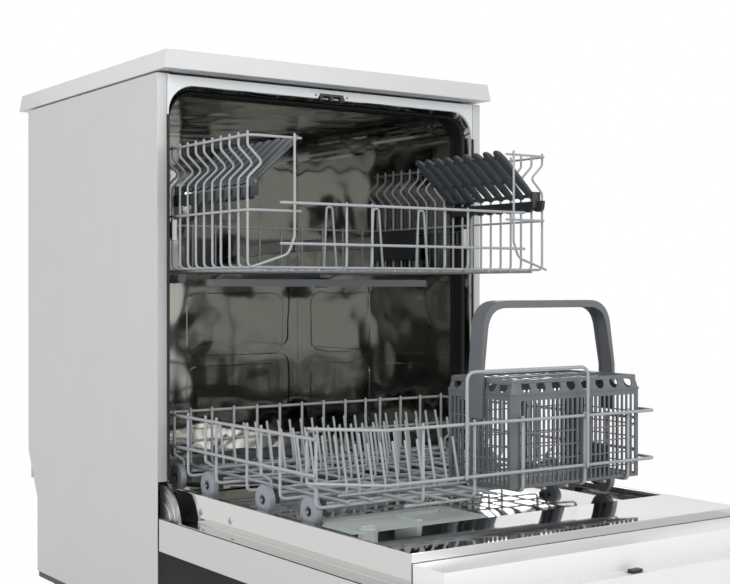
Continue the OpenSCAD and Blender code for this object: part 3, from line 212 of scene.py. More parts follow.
def grain(tree, size_mm, stretch=(1, 1, 1), detail=2.0):
    """Noise whose features are size_mm across, drawn out along an axis by stretch."""
    place = add_node(tree, "ShaderNodeTexCoord")
    scaled = add_node(tree, "ShaderNodeMapping", {"Vector": place.outputs["Object"],
                      "Scale": tuple(1000 / (size_mm * s) for s in stretch)})
    return add_node(tree, "ShaderNodeTexNoise", {"Vector": scaled.outputs[0], "Scale": 1.0,
                    "Detail": detail}).outputs["Fac"]


def bump(tree, shader, height, depth_mm):
    """Roughens a shader's surface with a height pattern depth_mm deep."""
    node = add_node(tree, "ShaderNodeBump", {"Height": height, "Distance": depth_mm / 1000,
                    "Strength": 1.0})
    tree.links.new(node.outputs[0], shader.inputs["Normal"])


def vary(tree, shader, pattern, socket, low, high):
    """Lets a pattern move one of the shader's inputs between two values or two hex colours."""
    if isinstance(low, str):
        mix = add_node(tree, "ShaderNodeMix", {"Factor": pattern}, data_type="RGBA")
        mix.inputs[6].default_value = linear(low)
        mix.inputs[7].default_value = linear(high)
        tree.links.new(mix.outputs[2], shader.inputs[socket])
    else:
        spread = add_node(tree, "ShaderNodeMapRange", {"Value": pattern, "From Min": 0.3,
                          "From Max": 0.7, "To Min": low, "To Max": high})
        tree.links.new(spread.outputs[0], shader.inputs[socket])


print("helpers ready")

# %% [markdown]
# Stove enamel over steel: sprayed, so it has an orange-peel skin, with waves of one to two
# millimetres, under a satin gloss. It keeps large flat panels from looking like plain grey.

# %% Painted steel
enamel, tree, shader = new_finish("silver_enamel", "#bbbcbb", 0.38, 0.15)
bump(tree, shader, grain(tree, 1.6), 0.02)
vary(tree, shader, grain(tree, 90), "Roughness", 0.34, 0.42)
white_enamel, tree, shader = new_finish("white_enamel", "#d3d7da", 0.3)
bump(tree, shader, grain(tree, 1.6), 0.02)
print("enamel ready")

# %% [markdown]
# Laminate on the worktop board is printed paper under a hard film with a fine pearl texture.
# The moulded edging round it is smoother.

# %% Worktop finishes
laminate, tree, shader = new_finish("worktop_laminate", "#d9dada", 0.45)
bump(tree, shader, grain(tree, 0.9), 0.03)
vary(tree, shader, grain(tree, 2.2, detail=4), "Base Color", "#d4d5d5", "#dcdddd")
edging, tree, shader = new_finish("moulded_edging", "#c9cacb", 0.36)
bump(tree, shader, grain(tree, 0.7), 0.012)
print("worktop finishes ready")

# %% [markdown]
# Deep-drawn stainless steel is bright and slightly wavy, with a fine rolled grain. The waves
# bend the reflections, which is what makes a tub look like pressed sheet.

# %% Stainless steel
# Real rolling lines are some hundredths of a millimetre wide. They are drawn much coarser here,
# so that they show in the render, and shallow beside the waves.
ROLLED_WIDTH, ROLLED_SHARE = 0.6, 0.003


def stainless_sheet(name, colour, roughness, wave_mm, wave_depth):
    """Bright rolled stainless sheet with long shallow waves and a fine grain, in mm."""
    material, tree, shader = new_finish(name, colour, roughness, 1.0)
    waves = grain(tree, wave_mm, detail=0)
    rolled = grain(tree, ROLLED_WIDTH, (1, 1, 30), detail=3)
    both = add_node(tree, "ShaderNodeMath", {0: rolled, 1: ROLLED_SHARE, 2: waves},
                    operation="MULTIPLY_ADD")
    bump(tree, shader, both.outputs[0], wave_depth)
    vary(tree, shader, rolled, "Roughness", roughness * 0.8, roughness * 1.25)
    return material


# The tub is the same stainless as the liner, but its colour is darker: part of the shade inside
# the tub is painted into it.
tub_steel_painted_shade = stainless_sheet("tub_stainless_painted_shade", "#a3a39e", 0.07, 60, 2.0)
liner_steel = stainless_sheet("liner_stainless", "#cdcdcb", 0.06, 160, 0.25)
# Zinc from a hot bath sets in flakes, which catch the light a little unevenly.
zinc, tree, shader = new_finish("zinc_coated_steel", "#a9abab", 0.4, 1.0)
vary(tree, shader, grain(tree, 9, detail=3), "Base Color", "#9c9e9e", "#b4b6b6")
print("steel ready")

# %% [markdown]
# Rack wires are steel dipped in nylon powder: an even, slightly soft-looking grey skin.
# Wheels, baskets and arms are moulded polypropylene, which is matt with a waxy sheen. All of
# them share one recipe, `moulded`: a gloss, the fine texture that the mould left, and for some
# soft clouds of tone, where the melt flowed together. A mould's real texture is a few tenths of
# a millimetre, and it is drawn coarser, so that it shows.

# %% Plastics and rubber
PP_IOR, NYLON_IOR, ABS_IOR, RUBBER_IOR = 1.49, 1.53, 1.53, 1.52


def moulded(name, colour, roughness, texture_mm, depth_mm, ior=PP_IOR, metallic=0.0, clouds=None):
    """A moulded finish. Clouds are their size in millimetres and their two tones."""
    material, tree, shader = new_finish(name, colour, roughness, metallic, ior)
    bump(tree, shader, grain(tree, texture_mm), depth_mm)
    if clouds:
        size_mm, low, high = clouds
        vary(tree, shader, grain(tree, size_mm), "Base Color", low, high)
    return material


nylon = moulded("nylon_coated_wire", "#9a9ea1", 0.42, 1.2, 0.03, NYLON_IOR)
slate_pp = moulded("slate_polypropylene", "#5f6266", 0.38, 0.8, 0.02,
                   clouds=(30, "#5b5e62", "#64676b"))
# The lids and cup shelves come from polished moulds, so they are glossy and gently wavy.
lid_pp = moulded("polished_slate_polypropylene", "#66696d", 0.12, 14, 0.05)
shelf_pp = moulded("satin_black_polypropylene", "#3f4347", 0.28, 6, 0.04)
black_pp = moulded("black_polypropylene", "#26282b", 0.45, 0.8, 0.02)
grey_pp = moulded("grey_polypropylene", "#83878c", 0.45, 0.8, 0.02)
wheel_pp = moulded("wheel_polypropylene", "#7f848c", 0.42, 1.0, 0.03,
                   clouds=(12, "#7a7f87", "#868b93"))
dispenser_pp = moulded("dispenser_polypropylene", "#a6aeab", 0.34, 0.8, 0.02)
white_pp = moulded("white_polypropylene", "#e6e6e3", 0.4, 0.8, 0.02)
# The fascia is painted ABS: a trace of metal in the paint gives its silver a soft depth.
abs_silver = moulded("silver_abs", "#dbdcdc", 0.34, 0.5, 0.01, ABS_IOR, 0.1)
rubber = moulded("black_rubber", "#0f0f10", 0.6, 1.0, 0.04, RUBBER_IOR)
print("plastics ready, polypropylene's IOR:", PP_IOR)

# %% [markdown]
# Spring wire is drawn hard through a die, which leaves a grain along it and a dull shine. The
# grain is drawn coarser than it is, like that of the sheets.

# %% Spring wire
spring_wire, tree, shader = new_finish("drawn_spring_wire", "#6e6e6c", 0.35, 1.0)
bump(tree, shader, grain(tree, 0.5, (1, 20, 1)), 0.02)
print("materials:", len(bpy.data.materials))

# %% [markdown]
# ## Dressing the solids
#
# Many solids already have the right shape, so all they need is their finish. One table says
# which finish each of them has, and a piece that stands for a solid later looks it up there.

# %% Dress the frame's own solids
dress = {
    laminate: ["worktop_board"],
    edging: ["worktop_edging"],
    enamel: ["side_panels", "door_outer_panel"],
    white_enamel: ["tub_flange"],
    zinc: ["rear_panel", "hinge_brackets", "hinge_arms", "rack_rails", "heater"],
    tub_steel_painted_shade: ["tub_sides", "tub_ceiling", "tub_rear", "tub_floor"],
    liner_steel: ["door_liner"],
    black_pp: ["base_tray", "plinth", "foot_front_left", "foot_front_right", "rear_feet",
               "door_striker", "door_latch", "wheel_clips"],
    shelf_pp: ["cup_shelf_left", "cup_shelf_right"],
    slate_pp: ["filter_cup", "lower_spray_arm", "upper_spray_arm", "cutlery_basket",
               "basket_long_walls", "basket_end_walls", "basket_handle"],
    lid_pp: ["basket_lid_front", "basket_lid_rear"],
    grey_pp: ["pumps", "supply_duct", "sump"],
    wheel_pp: ["wheels_1", "wheels_2", "wheels_3", "wheels_4"],
    dispenser_pp: ["dispenser_body", "dispenser_lid", "rinse_aid_cap"],
    white_pp: ["inlet_valve", "salt_cap"],
    abs_silver: ["control_fascia", "programme_dial", "power_button", "start_button",
                 "option_button"],
    rubber: ["side_seals"],
    spring_wire: ["door_springs"],
    nylon: ["lower_rack_sides", "lower_rack_ends", "lower_rack_floor", "plate_tines",
            "upper_rack_sides", "upper_rack_ends", "upper_rack_floor"],
}
finish_of = {}
for material, nodes in dress.items():
    for name in nodes:
        finish_of[name] = material
        solid = frame["nodes"][name]
        solid.data.materials.clear()
        solid.data.materials.append(material)
print("dressed", len(finish_of), "of", len(frame["nodes"]), "nodes")

# %% [markdown]
# ## Adding pieces
#
# A new piece has to be in the scene, have its material, ride on a body of the machine and hide
# the solids it stands for. One function does all of that, so no piece can miss a step. Three more
# turn mesh data into meshes that shade smoothly and keep their sharp edges.

# %% Adding pieces
def add_piece(name, mesh, material, body, *replaced):
    """Puts a finished mesh in the scene, with its material and its body, and hides what it stands
    for.
    """
    piece = bpy.data.objects.new(name, mesh)
    bpy.context.scene.collection.objects.link(piece)
    mesh.materials.clear()
    mesh.materials.append(material)
    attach(piece, body)
    if replaced:
        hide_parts(*replaced)
    return piece


def plain_mesh(made, name):
    """Writes mesh data to a new mesh."""
    mesh = bpy.data.meshes.new(name)
    made.to_mesh(mesh)
    made.free()
    return mesh


def smooth_mesh(made, name, angle=30):
    """Turns mesh data into a mesh that shades smoothly up to an angle in degrees."""
    bmesh.ops.recalc_face_normals(made, faces=made.faces)
    mesh = plain_mesh(made, name)
    mesh.shade_smooth()
    mesh.set_sharp_from_angle(angle=math.radians(angle))
    return mesh


def merged(name, meshes, angle=30):
    """Joins several meshes into one that shades smoothly up to an angle in degrees."""
    made = bmesh.new()
    for mesh in meshes:
        made.from_mesh(mesh)
        bpy.data.meshes.remove(mesh)
    return smooth_mesh(made, name, angle)


print("bodies that pieces can ride on:", sorted(set(body_of.values())))

# %% [markdown]
# ## Soft edges
#
# No pressed or moulded edge is truly sharp, and the thin highlight along it is what tells the
# eye how thick the sheet is. `round_edges` joins flat facets and rounds every sharp edge with a
# bevel, and `soften` does that to a copy of a solid, which then stands for the solid. A bevel
# modifier could do it too, but here each piece gets a radius in millimetres once and for all.

# %% Softened solids
FLAT_ANGLE, SHARP_ANGLE, SHADE_ANGLE = math.radians(2), math.radians(35), 20
EDGE_RADII = {
    "worktop_edging": 3, "side_panels": 0.5, "door_outer_panel": 2.5, "door_liner": 1.6,
    "control_fascia": 3, "dispenser_body": 1.6, "dispenser_lid": 0.8, "rinse_aid_cap": 0.8,
    "hinge_arms": 0.9, "hinge_brackets": 0.8, "rack_rails": 0.4, "lower_spray_arm": 2.2,
    "upper_spray_arm": 2.2, "door_striker": 1, "programme_dial": 1.5, "power_button": 0.8,
    "start_button": 0.8, "option_button": 0.8, "basket_lid_front": 0.4, "basket_lid_rear": 0.4,
    "filter_cup": 1, "salt_cap": 1, "plinth": 0.8, "base_tray": 1.2, "wheel_clips": 0.6,
}


def solid_copy(node):
    """Mesh data of one of the frame's solids, with its corners joined."""
    made = bmesh.new()
    made.from_mesh(frame["nodes"][node].data)
    bmesh.ops.remove_doubles(made, verts=made.verts, dist=1e-6)
    return made


def round_edges(made, radius):
    """Joins flat facets and rounds the sharp edges of mesh data. Radius in mm."""
    bmesh.ops.dissolve_limit(made, angle_limit=FLAT_ANGLE, verts=made.verts, edges=made.edges)
    sharp = [e for e in made.edges if len(e.link_faces) == 2
             and e.calc_face_angle(0) > SHARP_ANGLE]
    bmesh.ops.bevel(made, geom=sharp, offset=radius / 1000, segments=2, profile=0.5,
                    affect="EDGES", clamp_overlap=True)
    return len(sharp)


def soften(node, radius):
    """Stands a copy with rounded edges in for one of the frame's solids."""
    made = solid_copy(node)
    count = round_edges(made, radius)
    mesh = smooth_mesh(made, node + "_soft", SHADE_ANGLE)
    add_piece(node + "_soft", mesh, finish_of[node], body_of[node], node)
    return count


for node, radius in EDGE_RADII.items():
    print(node, "edges rounded:", soften(node, radius))

# %% [markdown]
# ## Racks
#
# A rack is a basket of round wires, bent cold and welded where they cross, then dipped. Square
# solid bars are enough to weigh and to collide, but the eye wants round wires with soft bends
# and domed tips. Each wire is a path in millimetres: its corners are rounded to a bending
# radius, and a curve with a round bevel gives it its thickness.

# %% Bent wires
def bend(corners, radius, steps=4):
    """Rounds the inner corners of a path to a bending radius, all in millimetres."""
    corners = [Vector(c) for c in corners]
    path = [corners[0]]
    for before, corner, after in zip(corners, corners[1:], corners[2:]):
        back, ahead = before - corner, after - corner
        reach = min(radius / math.tan(back.angle(ahead) / 2), 0.49 * back.length,
                    0.49 * ahead.length)
        start = corner + back.normalized() * reach
        end = corner + ahead.normalized() * reach
        for k in range(steps + 1):
            t = k / steps
            path.append((1 - t) ** 2 * start + 2 * t * (1 - t) * corner + t * t * end)
    return path + [corners[-1]]


# A tip's dome: how far along the wire, in diameters, and what share of the thickness.
DOME = ((0, 0.45), (0.15, 0.85), (0.5, 1))


def wires(name, paths, diameter, material, body, *replaced):
    """Round wires along the paths, as one mesh, with domed tips."""
    curve = bpy.data.curves.new(name, "CURVE")
    curve.dimensions = "3D"
    curve.bevel_depth = diameter / 2000
    curve.bevel_resolution = 1
    curve.use_fill_caps = True
    for path in paths:
        path = [Vector(p) for p in path]
        lead = (path[1] - path[0]).normalized() * diameter
        tail = (path[-2] - path[-1]).normalized() * diameter
        places = [(path[0] + lead * reach, share) for reach, share in DOME]
        places += [(p, 1) for p in path[1:-1]]
        places += [(path[-1] + tail * reach, share) for reach, share in DOME[::-1]]
        spline = curve.splines.new("POLY")
        spline.points.add(len(places) - 1)
        for point, (place, thickness) in zip(spline.points, places):
            point.co = (*at(*place), 1)
            point.radius = thickness
    holder = bpy.data.objects.new(name, curve)
    mesh = bpy.data.meshes.new_from_object(holder)
    bpy.data.objects.remove(holder)
    mesh.shade_smooth()
    print(name, len(paths), "wires,", len(mesh.polygons), "faces")
    return add_piece(name, mesh, material, body, *replaced)


# %% [markdown]
# The lower rack has U-shaped wires across it and long wires welded on top of them. Rim wires go
# round the outside, with the front left corner cut off at an angle, and one tall wire guards
# the basket. Repeats are loops, and only the places that differ are written out.

# %% Lower rack
LOW_WIRE = 4.6
LOW_STEP = 4.1  # from one wire's middle to that of the wire welded across it
LOW_HALF = 259
LOW_RIM = LOW_HALF + LOW_STEP
LOW_FRONT = -421
LOW_RIM_FRONT = LOW_FRONT - LOW_STEP
GUARD_FRONT = LOW_RIM_FRONT - LOW_STEP
LOW_REAR = 57.3
LOW_FLOOR = 240
LOW_LONG = LOW_FLOOR + LOW_STEP
LOW_TOP = 331
WHEEL_Y = (-337, -225, -71, 26)
CLIP_X = 243.7
FRONT_UPRIGHTS = (-142, -60, 22, 133, 216)
LONG_X = (-216, -180, -142, -101, -60, -19, 22, 64, 104, 133, 175, 216)

low_paths = []
for y in (-358, -273, -188, -103, -18, LOW_REAR - 2.3):
    low_paths.append(bend([(-LOW_HALF, y, LOW_TOP), (-LOW_HALF, y, LOW_FLOOR),
                           (LOW_HALF, y, LOW_FLOOR), (LOW_HALF, y, LOW_TOP)], 9))
low_paths.append([(-162, -408.4, LOW_FLOOR), (-57, -408.4, LOW_FLOOR)])
# The cross wires at the wheels are drawn in above the floor, to make room for the wheels.
for y in WHEEL_Y:
    half = [(LOW_HALF, y, LOW_TOP), (LOW_HALF, y, 267), (CLIP_X, y, 257), (CLIP_X, y, LOW_FLOOR)]
    low_paths.append(bend([(-x, y, z) for x, y, z in half] + half[::-1], 6))
for x in LONG_X:
    rear = [(x, LOW_REAR, LOW_LONG), (x, LOW_REAR, LOW_TOP - 1)]
    if x in FRONT_UPRIGHTS:
        low_paths.append(bend([(x, LOW_FRONT, 343), (x, LOW_FRONT, LOW_LONG)] + rear, 9))
    else:
        start = -366 if x < FRONT_UPRIGHTS[0] else -419
        low_paths.append(bend([(x, start, LOW_LONG)] + rear, 9))
# Rim wires on the sides, the rear and the front, and the tall guard over the basket.
for z in (280, 325):
    for side, end in ((-1, -361), (1, -391)):
        low_paths.append([(side * LOW_RIM, end, z), (side * LOW_RIM, LOW_REAR + 2, z)])
    low_paths.append([(-LOW_RIM - 2, LOW_REAR + LOW_STEP, z),
                      (LOW_RIM + 2, LOW_REAR + LOW_STEP, z)])
for z in (271, 338):
    low_paths.append(bend([(-267.2, -351, z), (-267.2, -361, z), (-201, LOW_RIM_FRONT, z),
                           (267.2, LOW_RIM_FRONT, z), (267.2, -386, z)], 14))
low_paths.append(bend([(-79, GUARD_FRONT, 268), (-79, GUARD_FRONT, 404),
                       (131, GUARD_FRONT, 404), (131, GUARD_FRONT, 268)], 13))
wires("lower_rack_wires", low_paths, LOW_WIRE, nylon, "lower_rack", "lower_rack_sides",
      "lower_rack_ends", "lower_rack_floor")

# %% [markdown]
# The tines stand in four rows. A tine is a short wire that leans to the rear, and every row is
# welded to one long wire across the rack, so one loop over the rows makes them all.

# %% Plate tines
TINE_LEFT, TINE_PITCH = -200, 20

tine_paths = []
for row, right in zip((-338, -230.7, -123.3, -16), (-20, -20, 200, 200)):
    tine_paths.append([(TINE_LEFT - 14, row, 248.4), (right + 14, row, 248.4)])
    for x in range(TINE_LEFT, right + 1, TINE_PITCH):
        tine_paths.append(bend([(x, row, 246.4), (x, row, 258.4), (x, row + 12, 310.4)], 20))
wires("plate_tine_wires", tine_paths, 4.0, nylon, "lower_rack", "plate_tines")

# %% [markdown]
# The upper rack's side wires kink inwards below the rim. Only four of its long wires turn up at
# the front, and three hairpins stand on its floor as dividers. Two thicker wires close the
# front, and they are a piece of their own, because no solid stands there.

# %% Upper rack
UP_WIRE = 3.8
UP_HALF = 262
UP_RIM = UP_HALF + 3.3
UP_FRONT = -201.9
UP_REAR = 259.9
UP_FLOOR = 538
UP_LONG = UP_FLOOR - 3.3
UP_TOP = 719
SIDE_PITCH = 24.5
SIDE_WIRE_Y = [-195 + SIDE_PITCH * k for k in range(19)]
LONG_UP_X = [(k - 5.5) * 476 / 11 for k in range(12)]
UP_UPRIGHTS = (3, 4, 7, 8)  # the long wires that turn up at the front, counted from 0

up_paths = []
for y in SIDE_WIRE_Y:
    half = [(UP_HALF, y, UP_TOP), (UP_HALF, y, 700), (UP_HALF - 20, y, 681),
            (UP_HALF - 20, y, 676), (UP_HALF, y, 657), (UP_HALF, y, UP_FLOOR)]
    up_paths.append(bend([(-x, y, z) for x, y, z in half] + half[::-1], 9))
for k, x in enumerate(LONG_UP_X):
    rear = [(x, UP_REAR, UP_LONG), (x, UP_REAR, 618)]
    if k in UP_UPRIGHTS:
        up_paths.append(bend([(x, UP_FRONT, 629), (x, UP_FRONT, UP_LONG)] + rear, 12))
    else:
        up_paths.append(bend([(x, -199, UP_LONG)] + rear, 12))
for side in (-1, 1):
    for z in (614, 713):
        up_paths.append(bend([(side * 182, UP_FRONT, z), (side * UP_RIM, UP_FRONT, z),
                              (side * UP_RIM, 258, z)], 14))
    up_paths.append(bend([(side * 195, -205, UP_TOP), (side * 195, -205, 580),
                          (side * 205, -205, 556), (side * UP_HALF, -205, UP_FLOOR)], 16))
up_paths.append([(-UP_RIM, UP_REAR, 614), (UP_RIM, UP_REAR, 614)])
# Three hairpins stand on the floor.
for x in (-43, 43, 130):
    up_paths.append(bend([(x - 11, -60, 536), (x - 6, -60, 632), (x + 4, -60, 632),
                          (x + 12, -60, 536)], 5))
wires("upper_rack_wires", up_paths, UP_WIRE, nylon, "upper_rack", "upper_rack_sides",
      "upper_rack_ends", "upper_rack_floor")
front_wires = wires("upper_rack_front_wires",
                    [[(-218, -205.2, z), (218, -205.2, z)] for z in (570, 625)],
                    4.4, nylon, "upper_rack")

# %% [markdown]
# ## Moulded shapes
#
# Injection-moulded parts are mostly plates with holes, bars with a constant section, and turned
# bodies. A filled 2-D curve makes the plates, and `stand` turns one upright. `loft` skins a row
# of rings, `turned` spins a profile round an axle, and `block` is a box with rounded edges.

# %% Plates
def plate(outlines, thickness):
    """A flat plate in millimetres: the first outline is its edge and the others are holes."""
    curve = bpy.data.curves.new("plate", "CURVE")
    curve.dimensions = "2D"
    curve.fill_mode = "BOTH"
    curve.extrude = thickness / 2000
    for outline in outlines:
        spline = curve.splines.new("POLY")
        spline.points.add(len(outline) - 1)
        for point, (x, y) in zip(spline.points, outline):
            point.co = (x / 1000, y / 1000, 0, 1)
        spline.use_cyclic_u = True
    holder = bpy.data.objects.new("plate", curve)
    mesh = bpy.data.meshes.new_from_object(holder)
    bpy.data.objects.remove(holder)
    return mesh


def stand(mesh, origin, along, up):
    """Turns a flat plate so that it starts at a point and lies along two directions."""
    along, up = Vector(along).normalized(), Vector(up).normalized()
    turn = Matrix((along, up, along.cross(up))).transposed().to_4x4()
    mesh.transform(Matrix.Translation(at(*origin)) @ turn)
    return mesh


def circle(x, y, radius, steps):
    """Points round a circle, for a hole in a plate."""
    return [(x + radius * math.cos(a), y + radius * math.sin(a))
            for a in [2 * math.pi * j / steps for j in range(steps)]]


print("a screw hole's outline has", len(circle(0, 0, 1.7, 16)), "points")

# %% Lofts, turned bodies and blocks
CORE = 0.05  # a profile that closes on its axle stops just short of it, so no face collapses


def loft(rings):
    """A closed skin over rings of points in millimetres, with flat ends."""
    made = bmesh.new()
    rows = [[made.verts.new(at(*p)) for p in ring] for ring in rings]
    for first, second in zip(rows, rows[1:]):
        for k in range(len(first)):
            made.faces.new((first[k - 1], first[k], second[k], second[k - 1]))
    made.faces.new(rows[0])
    made.faces.new(rows[-1][::-1])
    return plain_mesh(made, "loft")


def turned(profile, centre, axis, steps=40):
    """Spins a closed profile of (radius, place along the axis), in millimetres."""
    axis = Vector(axis)
    across = axis.orthogonal().normalized()
    made = bmesh.new()
    rows = []
    for k in range(steps):
        spoke = Matrix.Rotation(2 * math.pi * k / steps, 3, axis) @ across
        rows.append([made.verts.new(at(*(Vector(centre) + spoke * r + axis * a)))
                     for r, a in profile])
    for k in range(steps):
        for i in range(len(profile)):
            made.faces.new((rows[k - 1][i - 1], rows[k - 1][i], rows[k][i], rows[k][i - 1]))
    return plain_mesh(made, "turned")


def block(low, high, radius):
    """A box between two corners in millimetres, with rounded edges."""
    made = bmesh.new()
    bmesh.ops.create_cube(made, size=1)
    middle, size = (Vector(low) + Vector(high)) / 2, Vector(high) - Vector(low)
    for vert in made.verts:
        vert.co = at(*(middle + Vector(v * s for v, s in zip(vert.co, size))))
    bmesh.ops.bevel(made, geom=made.edges, offset=radius / 1000, segments=2, profile=0.5,
                    affect="EDGES")
    return plain_mesh(made, "block")


def side_block(side, x_span, y_span, z_span, radius):
    """A block on one side: side is -1 on the left, and x_span is counted from the middle."""
    x_low, x_high = sorted(side * x for x in x_span)
    return block((x_low, y_span[0], z_span[0]), (x_high, y_span[1], z_span[1]), radius)


print("shape helpers ready")

# %% [markdown]
# ## Mouth of the tub
#
# The tub opens a little towards the front, where it is welded to a white enamelled frame. Just
# inside lies a thick rubber gasket that the door presses on. All of them follow one outline
# with two round top corners, so `arch` gives that outline at any size, and `round_mouth`
# carries a section along it.

# %% Outline and section of the mouth
MOUTH_FOOT = 234
MOUTH_DEPTH = 14
OPENING_HALF, OPENING_TOP, OPENING_CORNER = 280.4, 804.3, 40


def arch(half, top, radius):
    """The mouth's outline from the right foot over both top corners to the left foot."""
    arc = [(half - radius + radius * math.cos(a), top - radius + radius * math.sin(a))
           for a in [math.pi / 2 * k / 12 for k in range(13)]]
    right = [(half, MOUTH_FOOT)] + arc
    return right + [(-x, z) for x, z in right[::-1]]


def round_mouth(section):
    """Carries a closed section of (half width, top, corner radius, depth) along the mouth."""
    outlines = [arch(half, top, radius) for half, top, radius, _ in section]
    return loft([[(outline[k][0], depth, outline[k][1])
                  for outline, (_, _, _, depth) in zip(outlines, section)]
                 for k in range(len(outlines[0]))])


print("opening:", 2 * OPENING_HALF, "mm wide, top at", OPENING_TOP, "mm")

# %% [markdown]
# The white frame is flat sheet, so one filled outline is enough: along the opening, over the
# notch for the striker, and back round the outside, with two small holes for its screws.

# %% White frame
FRAME_THICK = 1.5
STRIKER_NOTCH = [(25, OPENING_TOP), (23.5, 808), (20, 810), (-20, 810), (-23.5, 808),
                 (-25, OPENING_TOP)]

flange_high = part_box("tub_flange")[1]
flange_half, flange_top = flange_high.x * 1000, flange_high.z * 1000
opening = arch(OPENING_HALF, OPENING_TOP, OPENING_CORNER)
middle = len(opening) // 2
edge = ([(flange_half, MOUTH_FOOT)] + opening[:middle] + STRIKER_NOTCH + opening[middle:]
        + [(-flange_half, MOUTH_FOOT), (-flange_half, flange_top), (flange_half, flange_top)])
screw_holes = [circle(x, 808.6, 1.7, 16) for x in (-29, 29)]
frame_plate = stand(plate([edge] + screw_holes, FRAME_THICK), (0, 1.15, 0), (1, 0, 0), (0, 0, 1))
add_piece("mouth_frame", merged("mouth_frame", [frame_plate]), white_enamel, "cabinet",
          "tub_flange")
print("frame:", round(2 * flange_half, 1), "mm wide")

# %% [markdown]
# The lip is the tub's own steel, rolled over the frame's edge, and the gasket is a rubber
# section with a waist, so that it can give. A bevelled curve carries only one section of one
# shape and turns it in the corners, while `round_mouth` keeps each of its lines at its own
# depth and with its own corner radius.

# %% Lip, gasket and side seals
LIP = [(281.6, 805.6, 40.6, 1.95), (279.6, 803.4, 40, 3), (276, 798.4, 40, 11),
       (274, 796, 40, MOUTH_DEPTH + 2), (275.5, 797.5, 40, MOUTH_DEPTH + 2),
       (277.5, 800, 40, 11), (281, 805, 40, 4), (282.4, 806.4, 41, 2.6)]
GASKET = [(274.6, 796.6, 40, MOUTH_DEPTH - 3), (272.2, 794.2, 39, MOUTH_DEPTH),
          (271.4, 793.4, 38.5, MOUTH_DEPTH + 6), (273, 795, 39.5, MOUTH_DEPTH + 13),
          (271.6, 793.6, 38.5, MOUTH_DEPTH + 22), (272.6, 794.6, 39, MOUTH_DEPTH + 34),
          (274.6, 796.6, 40, MOUTH_DEPTH + 35)]
SEAL_X, SEAL_Y, SEAL_Z = (280.6, 283.3), (-3.6, 0.3), (MOUTH_FOOT, 760)

lip_piece = add_piece("tub_lip", merged("tub_lip", [round_mouth(LIP)]), tub_steel_painted_shade, "cabinet")
gasket_piece = add_piece("tub_gasket", merged("tub_gasket", [round_mouth(GASKET)], 60), rubber,
                         "cabinet")
seals = [side_block(side, SEAL_X, SEAL_Y, SEAL_Z, 0.6) for side in (-1, 1)]
add_piece("side_seal_strips", merged("side_seal_strips", seals), rubber, "cabinet",
          "side_seals")
print("gasket:", GASKET[-1][3] - GASKET[0][3], "mm deep")

# %% [markdown]
# The tub's sheets are trimmed behind the lip, and the edges of their pressed fields rounded. In
# a mirror, a big flat face must keep its own flat shading, or it bends what it reflects, so
# the edges round each big face are marked sharp.

# %% Tub sheets
PRESSED_RADIUS = 1.4
BIG_FACE = 0.0004  # square metres

for node in ("tub_sides", "tub_ceiling", "tub_rear"):
    made = solid_copy(node)
    bmesh.ops.bisect_plane(made, geom=made.verts[:] + made.edges[:] + made.faces[:],
                           plane_co=at(0, MOUTH_DEPTH, 0), plane_no=(0, 1, 0), clear_inner=True)
    bmesh.ops.holes_fill(made, edges=[e for e in made.edges if e.is_boundary], sides=0)
    round_edges(made, PRESSED_RADIUS)
    sheet = smooth_mesh(made, node + "_sheet", SHADE_ANGLE)
    for face in sheet.polygons:
        if face.area > BIG_FACE:
            for corner in face.loop_indices:
                sheet.edges[sheet.loops[corner].edge_index].use_edge_sharp = True
    add_piece(node + "_sheet", sheet, tub_steel_painted_shade, body_of[node], node)
    print(node, "faces:", len(sheet.polygons))

# %% [markdown]
# ## Wheels
#
# Each wheel is a plain moulded disc with a rounded tread. It turns on a dark stub of the clip,
# which a bright steel rivet closes. A cylinder would need its edges rounded afterwards, so both
# are spun from half of their section, in which the rounding is drawn already.

# %% Wheels
WHEEL_BODIES = ("wheels_front", "wheels_second", "wheels_third", "wheels_rear")
WHEEL_X, WHEEL_Z = 247.5, 232.8
TREAD = [(4.1, 0), (17.6, 0), (19.0, 0.7), (19.5, 2.2), (19.5, 7.8), (19.0, 9.3), (17.6, 10),
         (7.4, 10), (6.6, 9.6), (6.2, 8.6), (6.2, 6.5), (4.1, 6.5)]
STUB_X, STUB_Z = 258.4, WHEEL_Z - 0.6
RIVET = [(CORE, 0), (2.0, 0), (1.7, 0.7), (CORE, 1.0)]

rivets = []
for number, (body, y) in enumerate(zip(WHEEL_BODIES, WHEEL_Y), 1):
    pair = []
    for side in (-1, 1):
        pair.append(turned(TREAD, (side * WHEEL_X, y, WHEEL_Z), (side, 0, 0), 56))
        rivets.append(turned(RIVET, (side * STUB_X, y, STUB_Z), (side, 0, 0), 16))
    add_piece(f"wheel_pair_{number}", merged(f"wheel_pair_{number}", pair), wheel_pp, body,
              f"wheels_{number}")
rivet_piece = add_piece("axle_rivets", merged("axle_rivets", rivets), zinc, "lower_rack")
print("wheels:", 2 * len(WHEEL_Y))

# %% [markdown]
# ## Cutlery basket
#
# The basket has eight thin walls: four slotted sides and four plain corners. Over a small
# ledge a band with round holes leans in, and the lids lie in it. The rack's front right wheel
# reaches into a notch in the right side.

# %% Basket walls
# The basket's box from the middle of the machine, and the heights of its ledge and its top.
X0, X1, Y0, Y1, Z0 = 9, 247, -416.7, -274.7, 246.7
LEDGE, TOP = 370, 388.7
CORNER, WALL = 6.5, 1.8
CUT_LOSS = 0.586  # what a corner's cut loses for each millimetre inwards, 2 - sqrt(2)
LAP = 0.3  # how far each wall runs into its neighbours
ROWS = ((4, 17), (18.6, 35), (36.6, 53), (54.6, 71), (72.6, 89), (90.6, 115))
SLOT_PITCH, SLOT_WIDTH = 8.6, 5.6
NOTCH_HALF, NOTCH_TOP = 16, 20.1
FRONT, RIGHT, REAR, LEFT = 0, 2, 4, 6  # the sides among the eight walls


